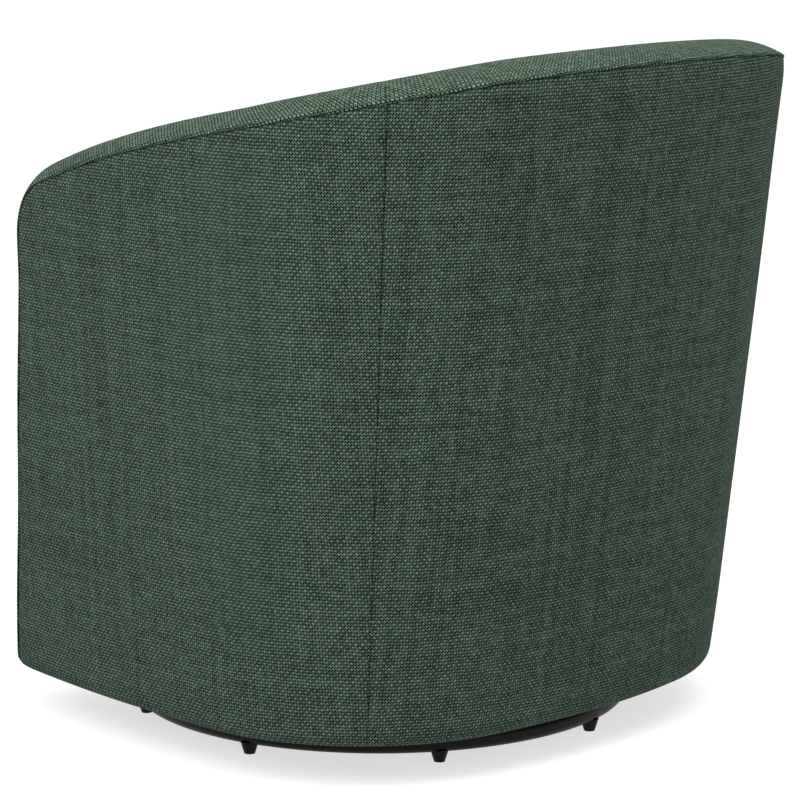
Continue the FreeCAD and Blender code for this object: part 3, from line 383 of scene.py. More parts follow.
def cloth_on_back(stretch, share, z, side):
    """Where a point of the back lies in its flat cloth, whose threads follow the middle of the back."""
    plan = Plan(z)
    rear = BACK_RADIUS * (pi / 2 - plan.rear_start)
    if stretch == REAR:
        return -side * rear * share, z
    return -side * (rear + plan.shoulder * share * (plan.rear_start - seam_angle(z))), z


def cloth_on_arm(stretch, share, point):
    """Where a point of the arm lies in its flat cloth, whose threads run straight up on its side."""
    plan = Plan(point.z)
    if stretch == SIDE:
        return round_the_side(plan, point.y), point.z
    start = plan.side.y + SIDE_RADIUS * sin(plan.side_end)
    turn = (1 - share) * (seam_angle(point.z) - plan.side_end)
    return round_the_side(plan, start) + plan.shoulder * turn, point.z


def hill(distance, reach):
    return exp(-((distance / reach) ** 2))


def eased(distance, reach):
    """1 at a place, falling smoothly to 0 at a reach from it."""
    return clamped(1 - distance / reach) ** 2


def rolled(distance, roll):
    """How deep cloth lies at a distance from its seam, where it turns in round a small radius."""
    short = clamped(roll - distance, 0.0, roll)
    return roll - sqrt(roll**2 - short**2)


def folded(row, top):
    """Height and depth at a row of an outer cover.

    A row below zero is a length of cloth below the top of the hem's fold, and any other row is a share
    of the height above it.
    """
    if row >= 0:
        height, depth = FOLD_TOP + row * (top - FOLD_TOP), 0.0
    else:
        angle = min(-row / HEM_FOLD, pi / 2)
        height = FOLD_TOP - HEM_FOLD * sin(angle)
        depth = HEM_FOLD * (1 - cos(angle)) + max(-row - HEM_FOLD * pi / 2, 0.0)
    return height, depth + leaning(height)


def leaning(height):
    return HEM_LEAN * eased(height - COVER_LOW, HEM_LEAN_HEIGHT)


def hem_depth(height):
    """How far in the cover's hem lies at a height."""
    return leaning(height) + rolled(height - COVER_LOW, HEM_FOLD)


def gathered(distance, along, seed, depth):
    """Small folds that the stitches pull into the cloth beside a seam."""
    if distance > PUCKER_REACH * 3:
        return 0.0
    fold = noise.noise(Vector((along / PUCKER_LENGTH, seed, distance / PUCKER_REACH)))
    finer = Vector((along / PUCKER_LENGTH * PUCKER_RATE, seed + FINER_SEED, 0.0))
    fold += FINER_SHARE * noise.noise(finer)
    return depth * fold * hill(distance, PUCKER_REACH)


def upright_seam(distance, height, seed):
    """Depth of the uneven valley beside an upright seam, and the painted shade along it; both grow faint towards
    the hem.
    """
    pull = PULL + PULL_CHANGE * noise.noise(Vector((height / SEAM_PULL_LENGTH, seed, 0.0)))
    level = (height - HEM) / (LEVEL_SLICE_HEIGHT - HEM)
    pull = clamped(pull, PULL_LEAST) * (PULL_AT_HEM + (1 - PULL_AT_HEM) * level)
    stitch = hill(distance, STITCH_REACH)
    return pull * (VALLEY_DEPTH * hill(distance, VALLEY_REACH) + STITCH_DEPTH * stitch), pull * stitch


def painted_rim_seam_shade(distance, place):
    """Painted shade along the band's seam, which is drawn tighter at some places than at others."""
    drawn = RIM_PAINTED_SHADE + RIM_PAINTED_SHADE_CHANGE * noise.noise(place / PUCKER_LENGTH)
    return hill(distance, RIM_PAINTED_SHADE_REACH) * drawn


def edge_lean(distance):
    """How far an outer cover leans in over the last of its way to the band's seam."""
    return EDGE_LEAN * eased(distance, EDGE_LEAN_REACH)


def rim_share(point):
    """1 along the rim, falling to 0 on the arm's corner and front."""
    return clamped((point.y - CORNER_RIM_Y) / WANDER_START)


def liveliness(point):
    """1 along the rim, falling to a calmer share on the arm's corner and front."""
    return CALM + (1 - CALM) * rim_share(point)


def lean_share(point):
    """1 along the rim and down the arm's front, and 0 round the corner between them."""
    return clamped(max(rim_share(point), (CORNER_Z - point.z) / FRONT_LEAN_START))


def sunk(distance):
    """How far a panel turns in under the band's seam."""
    return rolled(distance, PANEL_SINK_REACH) * SEAM_SINK / PANEL_SINK_REACH


def bulged(distance):
    """How far the band's edge stands out over its seam, which itself is sunk."""
    reach = distance / BULGE_REACH
    return BULGE * reach * exp(1 - reach) - SEAM_SINK * hill(distance, BAND_SINK_REACH)


def straying(point, side):
    """How far the rim's seam strays up or down at a place of the rim. Round the arm's corner it runs true."""
    place = placed(point, side) / WANDER_LENGTH
    stray = noise.noise(place) + FINER_SHARE * noise.noise(place * WANDER_RATE)
    return WANDER * rim_share(point) * stray


def waving(place, seed):
    """The slow in-and-out of cloth pulled over padding."""
    return WAVE_DEPTH * noise.noise(place / WAVE_LENGTH + Vector((seed, 0.0, 0.0)))


def placed(point, side=1):
    return Vector((point.x * side, point.y, point.z)) + AXIS


def added(name, data):
    """Puts a mesh, camera or lamp into the scene."""
    made = bpy.data.objects.new(name, data)
    bpy.context.scene.collection.objects.link(made)
    return made


def meshed(name, bm):
    mesh = bpy.data.meshes.new(name)
    bm.to_mesh(mesh)
    bm.free()
    return added(name, mesh)


def new_piece(name, bm, body, replaced):
    """Makes a piece from a bmesh, with its place in its mesh, riding on a body in place of a solid."""
    piece = meshed(name, bm)
    piece.data.shade_smooth()
    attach(piece, body)
    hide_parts(replaced)
    return piece


def cloth_grid(columns, rows, place, flip):
    """A sheet of cloth: a grid whose points are put at place(column, row), with its own UV map in metres.

    place gives a point, the cloth's own two coordinates there, and the painted shade of the crease it lies in.
    """
    bm = bmesh.new()
    uv_layer = bm.loops.layers.uv.new("cloth")
    # The painted shade of creases is kept per point in an attribute named crease
    painted_shade_layer = bm.verts.layers.float.new("crease")
    across, along = len(columns) - 1, len(rows) - 1
    bmesh.ops.create_grid(bm, x_segments=across, y_segments=along, size=0.5)
    cloth = {}
    for vertex in bm.verts:
        column = round((vertex.co.x + 0.5) * across)
        row = round((vertex.co.y + 0.5) * along)
        vertex.co, cloth[vertex], vertex[painted_shade_layer] = place(columns[column], rows[row])
    for face in bm.faces:
        for loop in face.loops:
            loop[uv_layer].uv = cloth[loop.vert]
    if flip:
        bmesh.ops.reverse_faces(bm, faces=bm.faces[:])
    return bm


def modified(piece, kind, **settings):
    modifier = piece.modifiers.new(kind.lower(), kind)
    for key, value in settings.items():
        setattr(modifier, key, value)
    return modifier


def thicken(piece, thickness=CLOTH_THICKNESS):
    """Gives cloth its thickness, on its inner side."""
    modified(piece, "SOLIDIFY", thickness=thickness, offset=-1.0, use_rim=True)


def flat_area(mesh):
    """The area that a piece's own cloth coordinates cover, with their width and length."""
    spots = [loop.uv for loop in mesh.uv_layers["cloth"].data]
    total = 0.0
    for polygon in mesh.polygons:
        corners = [spots[i] for i in polygon.loop_indices]
        twice = sum(a.x * b.y - b.x * a.y for a, b in zip(corners, corners[1:] + corners[:1]))
        total += abs(twice) / 2
    width = max(spot.x for spot in spots) - min(spot.x for spot in spots)
    length = max(spot.y for spot in spots) - min(spot.y for spot in spots)
    return total, width, length


def sewn_cover(name, node, columns, rows, place, flip=False):
    """A cloth piece over a solid: a sheet stretched over it and thickened, whose flat area and size are worked
    out.
    """
    piece = new_piece(name, cloth_grid(columns, rows, place, flip), "seat_body", node)
    thicken(piece)
    area, width, length = flat_area(piece.data)
    return piece


# Covers of the wall, outside and inside


def edge_distance(y, z):
    """Distance in the side view from a point of the arm to the band's seam over and before it."""
    angle = atan2(z - CORNER_Z, y - CORNER_Y)
    if CORNER_START < angle < CORNER_END:
        return ARM_CORNER_RADIUS - hypot(z - CORNER_Z, y - CORNER_Y)
    to_rim = (rim_height(y) - z) / hypot(1, rim_slope(y))
    to_front = (y - arm_front_y(z)) / hypot(1, ARM_FRONT_LEAN)
    return min(to_rim, to_front)


@functools.lru_cache(maxsize=None)
def column_top(stretch, share):
    """The height where an upright line of the arm meets the rim or the rounded corner."""
    height = rim_z(stretch, share)
    for _ in range(CORNER_ROUNDS):
        y = outer_point(stretch, share, height).y
        if y >= CORNER_RIM_Y:
            return min(height, rim_height(y))
        reach = clamped((CORNER_Y - y) / ARM_CORNER_RADIUS, -1.0)
        target = CORNER_Z + ARM_CORNER_RADIUS * sqrt(1 - reach**2)
        height += (target - height) * CORNER_SHARE
    return height


@functools.lru_cache(maxsize=None)
def sewn_top(stretch, share, side):
    """Where an upright line of cloth ends at the band's seam, with the seam's straying."""
    top = column_top(stretch, share) if stretch >= BEFORE_SEAM else rim_z(stretch, share)
    return top + straying(outer_point(stretch, share, top), side)


def outer_rows(height):
    """Rows of an outer cover: under the body and round the hem's fold, then up to the seam."""
    quarter = HEM_FOLD * pi / 2
    fold = [-quarter - HEM_UNDER] + [-quarter * (FOLD_STEPS - i) / FOLD_STEPS for i in range(FOLD_STEPS)]
    return fold + [z / height for z in spaced(height)]


def wall_cover(name, node, side, outside):
    """A cover of the wall, outside or inside: of the arm on a side, or with side 0 of the whole back."""
    first, length = (BEFORE_SEAM, ARM_LENGTH) if side else (REAR, BACK_HALF_LENGTH)
    columns = spaced(length) if side else [x - length for x in spaced(2 * length)]
    height = rim_z(first, 0.0) - (FOLD_TOP if outside else SEAT_LOW)
    rows = outer_rows(height) if outside else [z / height for z in spaced(height)]
    gather_seed, wave_seed = ARM_SEEDS if side else BACK_SEEDS

    def place(along, row):
        turn = side or (1 if along >= 0 else -1)
        stretch, share = stretch_at(abs(along), first)
        top = sewn_top(stretch, share, turn)
        z, depth = folded(row, top) if outside else (SEAT_LOW + row * (top - SEAT_LOW), 0.0)
        point = outer_point(stretch, share, z)
        shown = placed(point, turn)
        if side:
            to_edge = max(min(edge_distance(point.y, z), top - z), 0.0)
            valley, crease = upright_seam(along, z, PULL_SEED * turn)
            cloth = cloth_on_arm(stretch, share, point)
        else:
            to_edge = top - z
            valley, crease = upright_seam(length - abs(along), z, PULL_SEED * turn)
            cloth = cloth_on_back(stretch, share, z, turn)
        lively = liveliness(point)
        depth += sunk(to_edge) * lively + valley
        depth += outside * edge_lean(to_edge) * lean_share(point)
        way = point.y - z if side else along
        depth += gathered(to_edge, way, gather_seed + outside, PANEL_PUCKER * lively)
        depth += waving(shown, wave_seed + outside)
        # Painted shade along the upright seam and along the band's seam
        crease = max(crease * UPRIGHT_PAINTED_SHADE, painted_rim_seam_shade(to_edge, shown) * lively)
        point = point + inward(stretch, share) * (depth if outside else WALL - depth)
        return placed(point, turn), cloth, crease

    flip = outside if side == 0 else (side > 0) == outside
    return sewn_cover(name, node, columns, rows, place, flip)


# Band over the rim


def side_view_place(stretch, share):
    """Depth and height of the path's last three stretches: rim, rounded corner and front."""
    if stretch == SIDE:
        start = outer_point(SIDE, 0.0, rim_z(SIDE, 0.0)).y
        y = start + share * (CORNER_RIM_Y - start)
        return y, rim_height(y)
    if stretch == CORNER:
        angle = CORNER_START + share * (CORNER_END - CORNER_START)
        return CORNER_Y + ARM_CORNER_RADIUS * cos(angle), CORNER_Z + ARM_CORNER_RADIUS * sin(angle)
    height = FRONT_START_HEIGHT + share * (COVER_LOW - FRONT_START_HEIGHT)
    return arm_front_y(height), height


def rim_point(stretch, share):
    if stretch <= BEFORE_SEAM:
        return outer_point(stretch, share, rim_z(stretch, share))
    y, height = side_view_place(stretch, share)
    return Plan(height).side_point(y)


def band_crown(stretch, share):
    """The band's crown: low over the back, and rising round the shoulder to its height on the arm."""
    if stretch == REAR:
        return BACK_BAND_CROWN
    if stretch >= SIDE:
        return ARM_BAND_CROWN
    turn = (share + stretch - BEHIND_SEAM) / 2
    return BACK_BAND_CROWN + turn**2 * (3 - 2 * turn) * (ARM_BAND_CROWN - BACK_BAND_CROWN)


def band_station(stretch, share):
    """Point, inward direction, outward lift and crown of the band's cross-section at one place."""
    step = 0.01
    point = rim_point(stretch, share)
    along = rim_point(stretch, min(share + step, 1.0)) - rim_point(stretch, max(share - step, 0.0))
    through = inward(stretch, share)
    along = along - through * along.dot(through)
    return point, through, through.cross(along).normalized(), band_crown(stretch, share)


def path_table(stretches):
    """Distances along the rim path with their stretch and share, close together."""
    table, total, last = [], 0.0, None
    for stretch in stretches:
        steps = 60
        for i in range(steps + 1):
            point = rim_point(stretch, i / steps)
            total += (point - last).length if last is not None else 0.0
            table.append((total, stretch, i / steps))
            last = point
    return table


def on_path(table, distance):
    for (d0, s0, a0), (d1, s1, a1) in zip(table, table[1:]):
        if distance <= d1 and s0 == s1:
            part = (distance - d0) / (d1 - d0) if d1 > d0 else 0.0
            return s0, a0 + clamped(part) * (a1 - a0)
    return table[-1][1], table[-1][2]


def crown_arc(across, crown):
    """Inset, lift and the way out of the band's arc at a share of its width, and its whole width."""
    half = WALL / 2
    rise = crown - BAND_SEAT
    radius = (half**2 + rise**2) / (2 * rise)
    whole = 2 * asin(half / radius)
    angle = (across - 0.5) * whole
    return half + radius * sin(angle), crown - radius + radius * cos(angle), angle, radius * whole


BAND_WIDTH = crown_arc(0.0, BACK_BAND_CROWN)[-1]


def make_band(name, node, side):
    """The band over a length of the rim: down to an arm's foot, or with side 0 over the whole back."""
    table = path_table((BEFORE_SEAM, SIDE, CORNER, FRONT) if side else (REAR, BEHIND_SEAM))
    length = table[-1][0]
    columns = spaced(length) if side else [x - length for x in spaced(2 * length)]
    rows = [y / BAND_WIDTH for y in spaced(BAND_WIDTH)]
    stations = {}
    gather_seed, wave_seed = BAND_SEEDS

    def place(along, level):
        turn = side or (1 if along >= 0 else -1)
        if along not in stations:
            stations[along] = band_station(*on_path(table, abs(along)))
        point, through, up, crown = stations[along]
        inset, lift, angle, width = crown_arc(level, crown)
        to_edge = min(level, 1 - level) * width
        to_joint = along if side else length - abs(along)
        lively = liveliness(point)
        depth = rolled(to_joint, JOINT_ROLL)
        seed = gather_seed + BAND_FAR_EDGE * (level > 0.5) + turn
        depth += gathered(to_edge, abs(along), seed, BAND_PUCKER * lively)
        depth += gathered(to_joint, level * width, JOINT_SEED, PANEL_PUCKER)
        depth += waving(placed(point, turn), wave_seed)
        tuck = EDGE_LEAN * lean_share(point)
        if side:
            depth += rolled(length - along, HEM_FOLD)
            tuck += hem_depth(point.z)
        inset = tuck + inset * (1 - tuck / WALL)
        lift += straying(point, turn) * hill(to_edge, BULGE_REACH)
        inset += bulged(to_edge) * lively * (1 if level > 0.5 else -1)
        # Painted shade along the band's seams and at its joint
        crease = painted_rim_seam_shade(to_edge, placed(point, turn)) * lively
        crease = max(crease, JOINT_PAINTED_SHADE * hill(to_joint, STITCH_REACH))
        out = through * sin(angle) + up * cos(angle)
        made = point + through * inset + up * lift - out * depth
        start = BACK_HALF_LENGTH if side else 0.0
        return placed(made, turn), (turn * (start + abs(along)), level * width), crease

    return sewn_cover(name, node, columns, rows, place, side < 0)


# Inside of the seat


def make_apron():
    """The seat's front: a bowed panel whose cloth turns over its top and back along the arms."""
    rise = APRON_CENTRE_REACH - APRON_SIDE_REACH
    low_width = Plan(HEM).side_point(-APRON_SIDE_REACH).x - WALL
    high_width = Plan(APRON_TOP).side_point(-APRON_SIDE_REACH).x - WALL
    radius = (low_width**2 + rise**2) / (2 * rise)
    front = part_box("front_apron")[1].x
    top = APRON_TOP + APRON_LIP - APRON_FOLD
    quarter = APRON_FOLD * pi / 2

    def turned_over(flap):
        """Lengths of cloth past an edge: round its fold, and then flat."""
        bend = [quarter * i / FOLD_STEPS for i in range(1, FOLD_STEPS + 1)]
        return bend + [quarter + flap / 2, quarter + flap]

    ends = [front + length for length in turned_over(APRON_RETURN)]
    columns = [-x for x in reversed(ends)] + [x - front for x in spaced(2 * front)] + ends
    rows = outer_rows(top - FOLD_TOP) + [1 + length for length in turned_over(APRON_FLAP)]

    def place(across, row):
        z, depth = folded(min(row, 1.0), top)
        if row > 1:
            turn = min((row - 1) / APRON_FOLD, pi / 2)
            z += APRON_FOLD * sin(turn)
            depth += APRON_FOLD * (1 - cos(turn)) + max(row - 1 - quarter, 0.0)
        level = clamped((z - HEM) / (APRON_TOP - HEM))
        width = low_width + level * (high_width - low_width)
        widest = asin((width - APRON_FOLD) / (radius - APRON_FOLD))
        distance, side = abs(across), 1 if across >= 0 else -1
        reach = min(distance / front, 1.0)
        bend = clamped((distance - front) / quarter)
        angle = reach * widest + bend * (pi / 2 - widest)
        puff = APRON_PUFF * (1 - (1 - reach**2) * sin(pi * level))
        inside = front - min(distance, front)
        limit = APRON_MITRE + inside
        depth = limit * tanh(depth / limit) + puff * (1 - bend) + APRON_SIDE_GAP * bend
        out = Vector((sin(angle), -cos(angle), 0))
        turn_centre = Vector((sin(widest), -cos(widest), 0)) * (radius - APRON_FOLD)
        centre = Vector((0, radius - APRON_CENTRE_REACH, z))
        if distance > front:
            point = centre + turn_centre + out * (APRON_FOLD - depth)
        else:
            point = centre + out * (radius - depth)
        back = max(distance - front - quarter, 0.0)
        point.x += Plan(z).side_point(point.y + back).x - Plan(z).side_point(point.y).x
        near_hem = hill(z - COVER_LOW, APRON_FORWARD_REACH)
        point.y += back - APRON_FORWARD * near_hem * hill(inside, APRON_FORWARD_REACH)
        return placed(point, side), (across, row if row < 0 else z - FOLD_TOP + max(row - 1, 0.0)), 0.0

    return sewn_cover("seat_front", "front_apron", columns, rows, place)


# Soft pieces made from the solids themselves


def copied(node):
    """A joined-up copy of a CAD node's mesh."""
    bm = bmesh.new()
    bm.from_mesh(frame["nodes"][node].data)
    bmesh.ops.remove_doubles(bm, verts=bm.verts[:], dist=MERGE)
    return bm


def apply_modifier(piece, modifier):
    bpy.context.view_layer.objects.active = piece
    piece.select_set(True)
    bpy.ops.object.modifier_apply(modifier=modifier.name)
    piece.select_set(False)


def remeshed(piece, voxel):
    apply_modifier(piece, modified(piece, "REMESH", mode="VOXEL", voxel_size=voxel))


def worn_round(piece, rounds):
    apply_modifier(piece, modified(piece, "SMOOTH", iterations=rounds))
    piece.data.shade_smooth()


def softened(name, node, voxel):
    """A foam piece: the solid remeshed evenly, with its edges worn round."""
    piece = new_piece(name, copied(node), "seat_body", node)
    remeshed(piece, voxel)
    worn_round(piece, FOAM_ROUNDS)
    return piece


def drawn_in(piece):
    """Draws a closed shape in on every side, before its cloth is blown up again."""
    bm = bmesh.new()
    bm.from_mesh(piece.data)
    bm.normal_update()
    for vertex, normal in [(vertex, vertex.normal.copy()) for vertex in bm.verts]:
        vertex.co -= normal * CUSHION_SHRINK
    bm.to_mesh(piece.data)
    bm.free()


def blown_up(piece):
    """Cloth under pressure, with each point held to a short way from where it started."""
    start = [vertex.co.copy() for vertex in piece.data.vertices]
    cloth = piece.modifiers.new("cloth", "CLOTH")
    cloth.settings.use_pressure = True
    cloth.settings.uniform_pressure_force = CUSHION_PRESSURE
    cloth.settings.effector_weights.gravity = 0.0
    cloth.point_cache.frame_start = 1
    cloth.point_cache.frame_end = CUSHION_FRAMES
    for step in range(1, CUSHION_FRAMES + 1):
        bpy.context.scene.frame_set(step)
    apply_modifier(piece, cloth)
    bpy.context.scene.frame_set(1)
    for vertex, home in zip(piece.data.vertices, start):
        way = vertex.co - home
        reach = min(1.0, CUSHION_SPREAD / max(hypot(way.x, way.y), 1e-9))
        rise = clamped(way.z, high=CUSHION_SWELL) if home.z > CUSHION_MIDDLE else 0.0
        vertex.co = home + Vector((way.x * reach, way.y * reach, rise))


def sewn_edges(piece):
    """Two seams round the cushion's sides, with the gathers their stitches pull in and a painted shade along each.
    """
    mesh = piece.data
    painted_shades = mesh.attributes.new("crease", "FLOAT", "POINT").data
    normals = [vertex.normal.copy() for vertex in mesh.vertices]
    for vertex, normal, crease in zip(mesh.vertices, normals, painted_shades):
        level = Vector((normal.x, normal.y, 0.0))
        if level.length < CUSHION_UPRIGHT:
            continue
        turn = atan2(vertex.co.y, vertex.co.x) * CUSHION_ROUND
        for seam in CUSHION_SEAMS:
            distance = abs(vertex.co.z - seam)
            groove = hill(distance, CUSHION_SEAM_REACH)
            # Painted shade along the seam
            crease.value = max(crease.value, CUSHION_PAINTED_SHADE * hill(distance, CUSHION_PAINTED_SHADE_REACH))
            fold = gathered(distance, turn, CUSHION_SEED + seam, CUSHION_PUCKER)
            vertex.co -= normal * (CUSHION_SEAM_DEPTH * groove + fold)


def direction(point):
    """Angle round the cushion, 0 at its front and half a turn either way to its back."""
    return atan2(point.x, -point.y)


def table_place(angle):
    return (angle / (2 * pi) + 0.5) * CUSHION_PLACES


def way_round(piece):
    """A table of the distance round the cushion's side by direction, starting at the middle of its back."""
    reach = [0.0] * (CUSHION_PLACES + 1)
    for vertex in piece.data.vertices:
        if CUSHION_SEAMS[0] < vertex.co.z < CUSHION_SEAMS[1]:
            place = round(table_place(direction(vertex.co)))
            reach[place] = max(reach[place], hypot(vertex.co.x, vertex.co.y))
    reach[0] = reach[-1] = max(reach[0], reach[-1])
    table = [0.0]
    for before, after in zip(reach, reach[1:]):
        turn = (after + before) * pi / CUSHION_PLACES
        table.append(table[-1] + hypot(after - before, turn))
    return table


def cloth_on_cushion(piece):
    """Maps each panel of the cushion's cover: flat above and below, and a band round its side."""
    table = way_round(piece)
    mesh = piece.data
    spots = mesh.uv_layers.new(name="cloth").data
    for polygon in mesh.polygons:
        between_seams = CUSHION_SEAMS[0] < polygon.center.z < CUSHION_SEAMS[1]
        boxing = between_seams or abs(polygon.normal.z) < CUSHION_SHOULDER
        middle = direction(polygon.center)
        for i in polygon.loop_indices:
            point = mesh.vertices[mesh.loops[i].vertex_index].co
            if not boxing:
                spots[i].uv = (point.x, point.y)
                continue
            angle = direction(point)
            angle += 2 * pi * round((middle - angle) / (2 * pi))
            place = table_place(angle)
            base = clamped(int(place), 0, CUSHION_PLACES - 1)
            length = table[base] + (place - base) * (table[base + 1] - table[base])
            spots[i].uv = (length, point.z)


def make_cushion():
    piece = new_piece("loose_cushion", copied("seat_cushion"), "cushion", "seat_cushion")
    remeshed(piece, CUSHION_VOXEL)
    drawn_in(piece)
    blown_up(piece)
    worn_round(piece, CUSHION_ROUNDS)
    sewn_edges(piece)
    cloth_on_cushion(piece)
    modified(piece, "SUBSURF", levels=1, render_levels=1)
    return piece


def make_bottom_cloth():
    """The thin black cloth under the body: cut into small squares, and slack between its staples."""
    low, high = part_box("dust_cover")
    bm = copied("dust_cover")
    middle = (low.z + high.z) / 2
    bmesh.ops.delete(bm, geom=[face for face in bm.faces if face.calc_center_median().z > middle
                               or abs(face.normal.z) < 0.5], context="FACES")
    for axis in range(2):
        steps = ceil((high[axis] - low[axis]) / CAMBRIC_STEP)
        way = Vector((axis == 0, axis == 1, 0))
        for i in range(1, steps):
            place = low.lerp(high, i / steps)
            bmesh.ops.bisect_plane(bm, geom=bm.verts[:] + bm.edges[:] + bm.faces[:], plane_co=place,
                                   plane_no=way)
    bm.normal_update()
    area = sum(face.calc_area() for face in bm.faces)
    edge = [vertex.co.copy() for vertex in bm.verts if vertex.is_boundary]
    tree = KDTree(len(edge))
    for i, place in enumerate(edge):
        tree.insert(place, i)
    tree.balance()
    for vertex in bm.verts:
        hang = 1 - exp(-tree.find(vertex.co)[2] / CAMBRIC_SAG_REACH)
        crease = noise.noise(vertex.co / CAMBRIC_CREASE_LENGTH)
        vertex.co.z = HEM - (CAMBRIC_DROP + hang * (CAMBRIC_SAG + CAMBRIC_CREASE * crease))
        out = Vector((vertex.co.x - AXIS.x, vertex.co.y - AXIS.y, 0.0))
        beyond = clamped((out.length - CAMBRIC_HOLE_REACH) / CAMBRIC_HOLE_REACH)
        vertex.co -= out.normalized() * CAMBRIC_DRAW_IN * beyond
    for face in bm.faces:
        if face.normal.z > 0:
            face.normal_flip()
    piece = new_piece("bottom_cloth", bm, "seat_body", "dust_cover")
    thicken(piece, CAMBRIC_THICKNESS)
    return piece


def make_burlap():
    """Burlap over webbing behind the inside foam: one strip round the back and one in each arm."""
    bm = copied("inner_webbing")
    bm.normal_update()
    for vertex in bm.verts:
        weave = noise.noise(vertex.co / BURLAP_WAVE_LENGTH)
        vertex.co -= vertex.normal * BURLAP_WAVE * (1 + weave)
    area = sum(face.calc_area() for face in bm.faces) / 2
    low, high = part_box("inner_webbing")
    height = high.z - low.z
    piece = new_piece("burlap_and_webbing", bm, "seat_body", "inner_webbing")
    area / height
    return piece


# Materials


def maths(operation):
    """A method that adds one Math node."""
    return lambda self, *others: self.finish.node("ShaderNodeMath", {"operation": operation},
                                                  dict(enumerate((self,) + others)))


class Number:
    """A shader socket that does maths like a number."""

    def __init__(self, finish, socket):
        self.finish = finish
        self.socket = socket

    __add__ = __radd__ = maths("ADD")
    __sub__ = maths("SUBTRACT")
    __mul__ = __rmul__ = maths("MULTIPLY")
    __truediv__ = maths("DIVIDE")
    __gt__ = maths("GREATER_THAN")
    below = maths("LESS_THAN")
    larger = maths("MAXIMUM")
    power = maths("POWER")
    cosine = maths("COSINE")
    floor = maths("FLOOR")
    fraction = maths("FRACT")

    def __rsub__(self, other):
        return self.finish.node("ShaderNodeMath", {"operation": "SUBTRACT"}, {0: other, 1: self})

    def limited(self):
        return self.finish.node("ShaderNodeClamp", {}, {"Value": self})


class Finish:
    """A node material around one principled shader."""

    def __init__(self, name):
        self.material = bpy.data.materials.new(name)
        self.material.use_nodes = True
        self.tree = self.material.node_tree
        self.shader = self.tree.nodes["Principled BSDF"]

    def node(self, kind, settings, inputs, output=0):
        made = self.tree.nodes.new(kind)
        for key, value in settings.items():
            setattr(made, key, value)
        for key, value in inputs.items():
            self.feed(made.inputs[key], value)
        return Number(self, made.outputs[output])

    def feed(self, socket, value):
        if isinstance(value, Number):
            self.tree.links.new(value.socket, socket)
        else:
            socket.default_value = value

    def set(self, **inputs):
        for key, value in inputs.items():
            self.feed(self.shader.inputs[key.replace("_", " ")], value)

    def mixed(self, share, first, second):
        made = self.tree.nodes.new("ShaderNodeMix")
        made.data_type = "RGBA"
        for key, value in ((0, share), (6, first), (7, second)):
            self.feed(made.inputs[key], value)
        return Number(self, made.outputs[2])

    def scaled(self, colour, amount):
        return self.node("ShaderNodeVectorMath", {"operation": "SCALE"}, {0: colour, "Scale": amount})

    def noise(self, vector, scale, detail=2.0, kind="3D"):
        return self.node("ShaderNodeTexNoise", {"noise_dimensions": kind},
                         {"Vector": vector, "Scale": scale, "Detail": detail})

    def split(self, vector):
        made = self.tree.nodes.new("ShaderNodeSeparateXYZ")
        self.feed(made.inputs[0], vector)
        return [Number(self, socket) for socket in made.outputs]

    def joined(self, x, y, z=0.0):
        return self.node("ShaderNodeCombineXYZ", {}, {0: x, 1: y, 2: z})

    def spot(self, x, y, seed):
        """A number of its own for each crossing of two threads."""
        return self.node("ShaderNodeTexWhiteNoise", {}, {"Vector": self.joined(x, y, seed)})

    def place(self):
        return self.node("ShaderNodeTexCoord", {}, {}, "Object")

    def bump(self, height, distance, strength=1.0):
        return self.node("ShaderNodeBump", {}, {"Height": height, "Distance": distance, "Strength": strength})


# The weave: thread spacing, how much of it a thread fills, and how its floats lean
WARP_PITCH = 0.0029
WEFT_PITCH = 0.0032
WARP_HALF_WIDTH = 0.33
WEFT_HALF_WIDTH = 0.36
FLOAT_LEAN = 0.30
DIAGONAL = 0.56
STROKE = 0.42
WARP_COLOUR = (0.029, 0.052, 0.036, 1.0)
WEFT_COLOUR = (0.044, 0.077, 0.054, 1.0)
PALE_COLOUR = (0.098, 0.158, 0.116, 1.0)
BROWN_COLOUR = (0.050, 0.045, 0.034, 1.0)
OLIVE_COLOUR = (0.053, 0.067, 0.026, 1.0)
# Paler grey-green for the brighter places of the weave: a painted highlight
PAINTED_HIGHLIGHT_COLOUR = (0.055, 0.076, 0.058, 1.0)
# How much the painted shade in seam creases darkens the cloth
CREASE_SHADE = 0.85
HIGH_LIMIT = 0.60
HIGH_GAIN = 1.82
THREAD_SHADE = 1.50
THREAD_WANDER = 0.9
THREAD_MIDDLE = 0.73
THREAD_RISE = 0.27
ROUNDNESS = 0.6
HEIGHT_CONTRAST = 2.4


